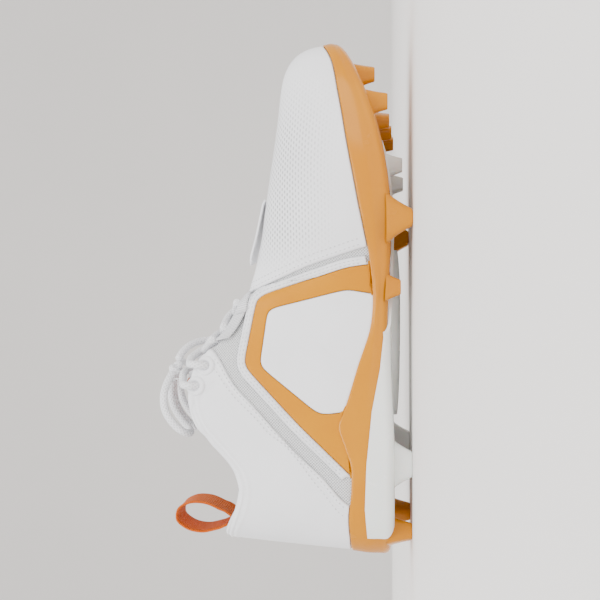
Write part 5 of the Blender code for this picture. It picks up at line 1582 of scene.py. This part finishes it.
class CleatSizes(bpy.types.PropertyGroup):
    """Sizes of the laces, the pull loop and the trim."""

    lace_radius: length_property("Lace radius", "Half the thickness of the round lace", LACE_RADIUS, min=0)
    eyelet_radius: length_property("Eyelet radius", "Radius of an eyelet's ring", EYELET_RADIUS, min=0)
    loop_width: length_property("Loop width", "Width of the heel's pull loop", LOOP_WIDTH, min=0)
    loop_height: length_property("Loop height", "Height of the heel's pull loop", LOOP_HEIGHT, min=0)
    piping_width: length_property("Piping width", "Width of the white piping", PIPING_WIDTH, min=0)
    piping_pitch: length_property("Piping pitch", "Distance between the piping's stitches", PIPING_PITCH,
                                  min=1e-4)
    seam_pitch: length_property("Seam pitch", "Distance between the seams' stitches", SEAM_PITCH, min=1e-4)
    stitch_length: length_property("Stitch length", "Length of one stitch", STITCH_LENGTH, min=0)
    stitch_radius: length_property("Stitch radius", "Half the thickness of the thread", STITCH_RADIUS, min=0)


class CleatLooks(bpy.types.PropertyGroup):
    """Colours and light of the cleat."""

    white: colour_property("White", "Colour of the white synthetic", (0.90, 0.905, 0.93))
    amber: colour_property("Amber", "Colour of the amber plastic and film", (0.60, 0.235, 0.0))
    plate: colour_property("White plate", "Colour of the white plastic", (0.87, 0.88, 0.85))
    knit: colour_property("Knit", "Colour of the grey knit", (0.80, 0.81, 0.82))
    loop: colour_property("Loop", "Colour of the pull loop", (0.70, 0.120, 0.0))
    floor: colour_property("Floor", "Colour of the floor", (0.88, 0.855, 0.835))
    room_light: bpy.props.FloatProperty(name="Room light", description="Strength of the light all round",
                                        default=1.15, min=0)
    key_light: bpy.props.FloatProperty(name="Key light", description="Power of the main soft light in watts",
                                       default=20.0, min=0)


class CleatView(bpy.types.PropertyGroup):
    """Place of the camera."""

    along: length_property("Along", "Camera's place along the shoe", -0.006)
    distance: length_property("Distance", "Camera's distance from the shoe's middle", 0.458)
    height: length_property("Height", "Camera's height over the floor", 0.015)
    lens: bpy.props.FloatProperty(name="Lens", description="Focal length in millimetres", default=44.5)


def operator(name, label, doc, work):
    """One operator class that calls a piece's function."""
    def execute(self, context):
        work(context)
        return {"FINISHED"}
    idname = "cleat." + name
    return type("CLEAT_OT_" + name, (bpy.types.Operator,),
                {"bl_idname": idname, "bl_label": label, "__doc__": doc, "execute": execute,
                 "bl_options": {"REGISTER", "UNDO"}})


OPERATORS = (
    operator("materials", "Materials", "Make every finish", lambda c: make_materials(c.scene.cleat_looks)),
    operator("camera", "Camera", "Place the camera", lambda c: build_camera(c.scene.cleat_view)),
    operator("laces", "Laces", "Make the crossings, knot, loops and ends",
             lambda c: build_laces(c.scene.cleat_sizes)),
    operator("upper", "Upper", "Make the knit upper with its lining", lambda c: build_upper()),
    operator("vamp", "Vamp", "Make the perforated vamp", lambda c: build_vamp()),
    operator("ankle_shell", "Ankle shell", "Make the ankle shell", lambda c: build_ankle_shell()),
    operator("quarters", "Quarters", "Make the frames, panes and piping",
             lambda c: build_quarters(c.scene.cleat_sizes)),
    operator("seams", "Seams", "Make the stitch rows", lambda c: build_seams(c.scene.cleat_sizes)),
    operator("outsole", "Outsole", "Make the amber outsole and its studs", lambda c: build_outsole()),
    operator("shank", "Shank", "Make the white plate, keel and studs", lambda c: build_shank()),
    operator("tongue", "Tongue", "Make the tongue and its tab", lambda c: build_tongue()),
    operator("insole", "Insole", "Make the insole", lambda c: build_insole()),
    operator("eyelets", "Eyelets", "Make the eyelets", lambda c: build_eyelets(c.scene.cleat_sizes)),
    operator("webbing", "Webbing", "Make the webbing strips", lambda c: build_webbing()),
    operator("vamp_loop", "Vamp band", "Make the band on the ridge", lambda c: build_vamp_loop()),
    operator("pull_loop", "Pull loop", "Make the pull loop", lambda c: build_pull_loop(c.scene.cleat_sizes)),
    operator("stage", "Stage", "Make the floor and the lights", lambda c: build_stage(c.scene.cleat_looks)),
)


class CLEAT_PT_panel(bpy.types.Panel):
    """Lists the cleat's pieces."""

    bl_label = "Cleat"
    bl_idname = "CLEAT_PT_panel"
    bl_space_type = "VIEW_3D"
    bl_region_type = "UI"
    bl_category = "Cleat"

    def draw(self, context):
        for group in (context.scene.cleat_sizes, context.scene.cleat_looks, context.scene.cleat_view):
            for name in group.__annotations__:
                self.layout.prop(group, name)
        for item in OPERATORS:
            self.layout.operator(item.bl_idname)


CLASSES = (CleatSizes, CleatLooks, CleatView, CLEAT_PT_panel) + OPERATORS


def register():
    """Adds the classes and the scene's settings."""
    for item in CLASSES:
        bpy.utils.register_class(item)
    bpy.types.Scene.cleat_sizes = bpy.props.PointerProperty(type=CleatSizes)
    bpy.types.Scene.cleat_looks = bpy.props.PointerProperty(type=CleatLooks)
    bpy.types.Scene.cleat_view = bpy.props.PointerProperty(type=CleatView)


def unregister():
    """Takes the settings and the classes away again."""
    del bpy.types.Scene.cleat_view
    del bpy.types.Scene.cleat_looks
    del bpy.types.Scene.cleat_sizes
    for item in reversed(CLASSES):
        bpy.utils.unregister_class(item)


def main():
    """Registers the classes, makes every piece in order and writes the sizes."""
    register()
    for item in OPERATORS:
        space, name = item.bl_idname.split(".")
        getattr(getattr(bpy.ops, space), name)()
    bpy.context.view_layer.update()


if __name__ == "__main__":
    main()
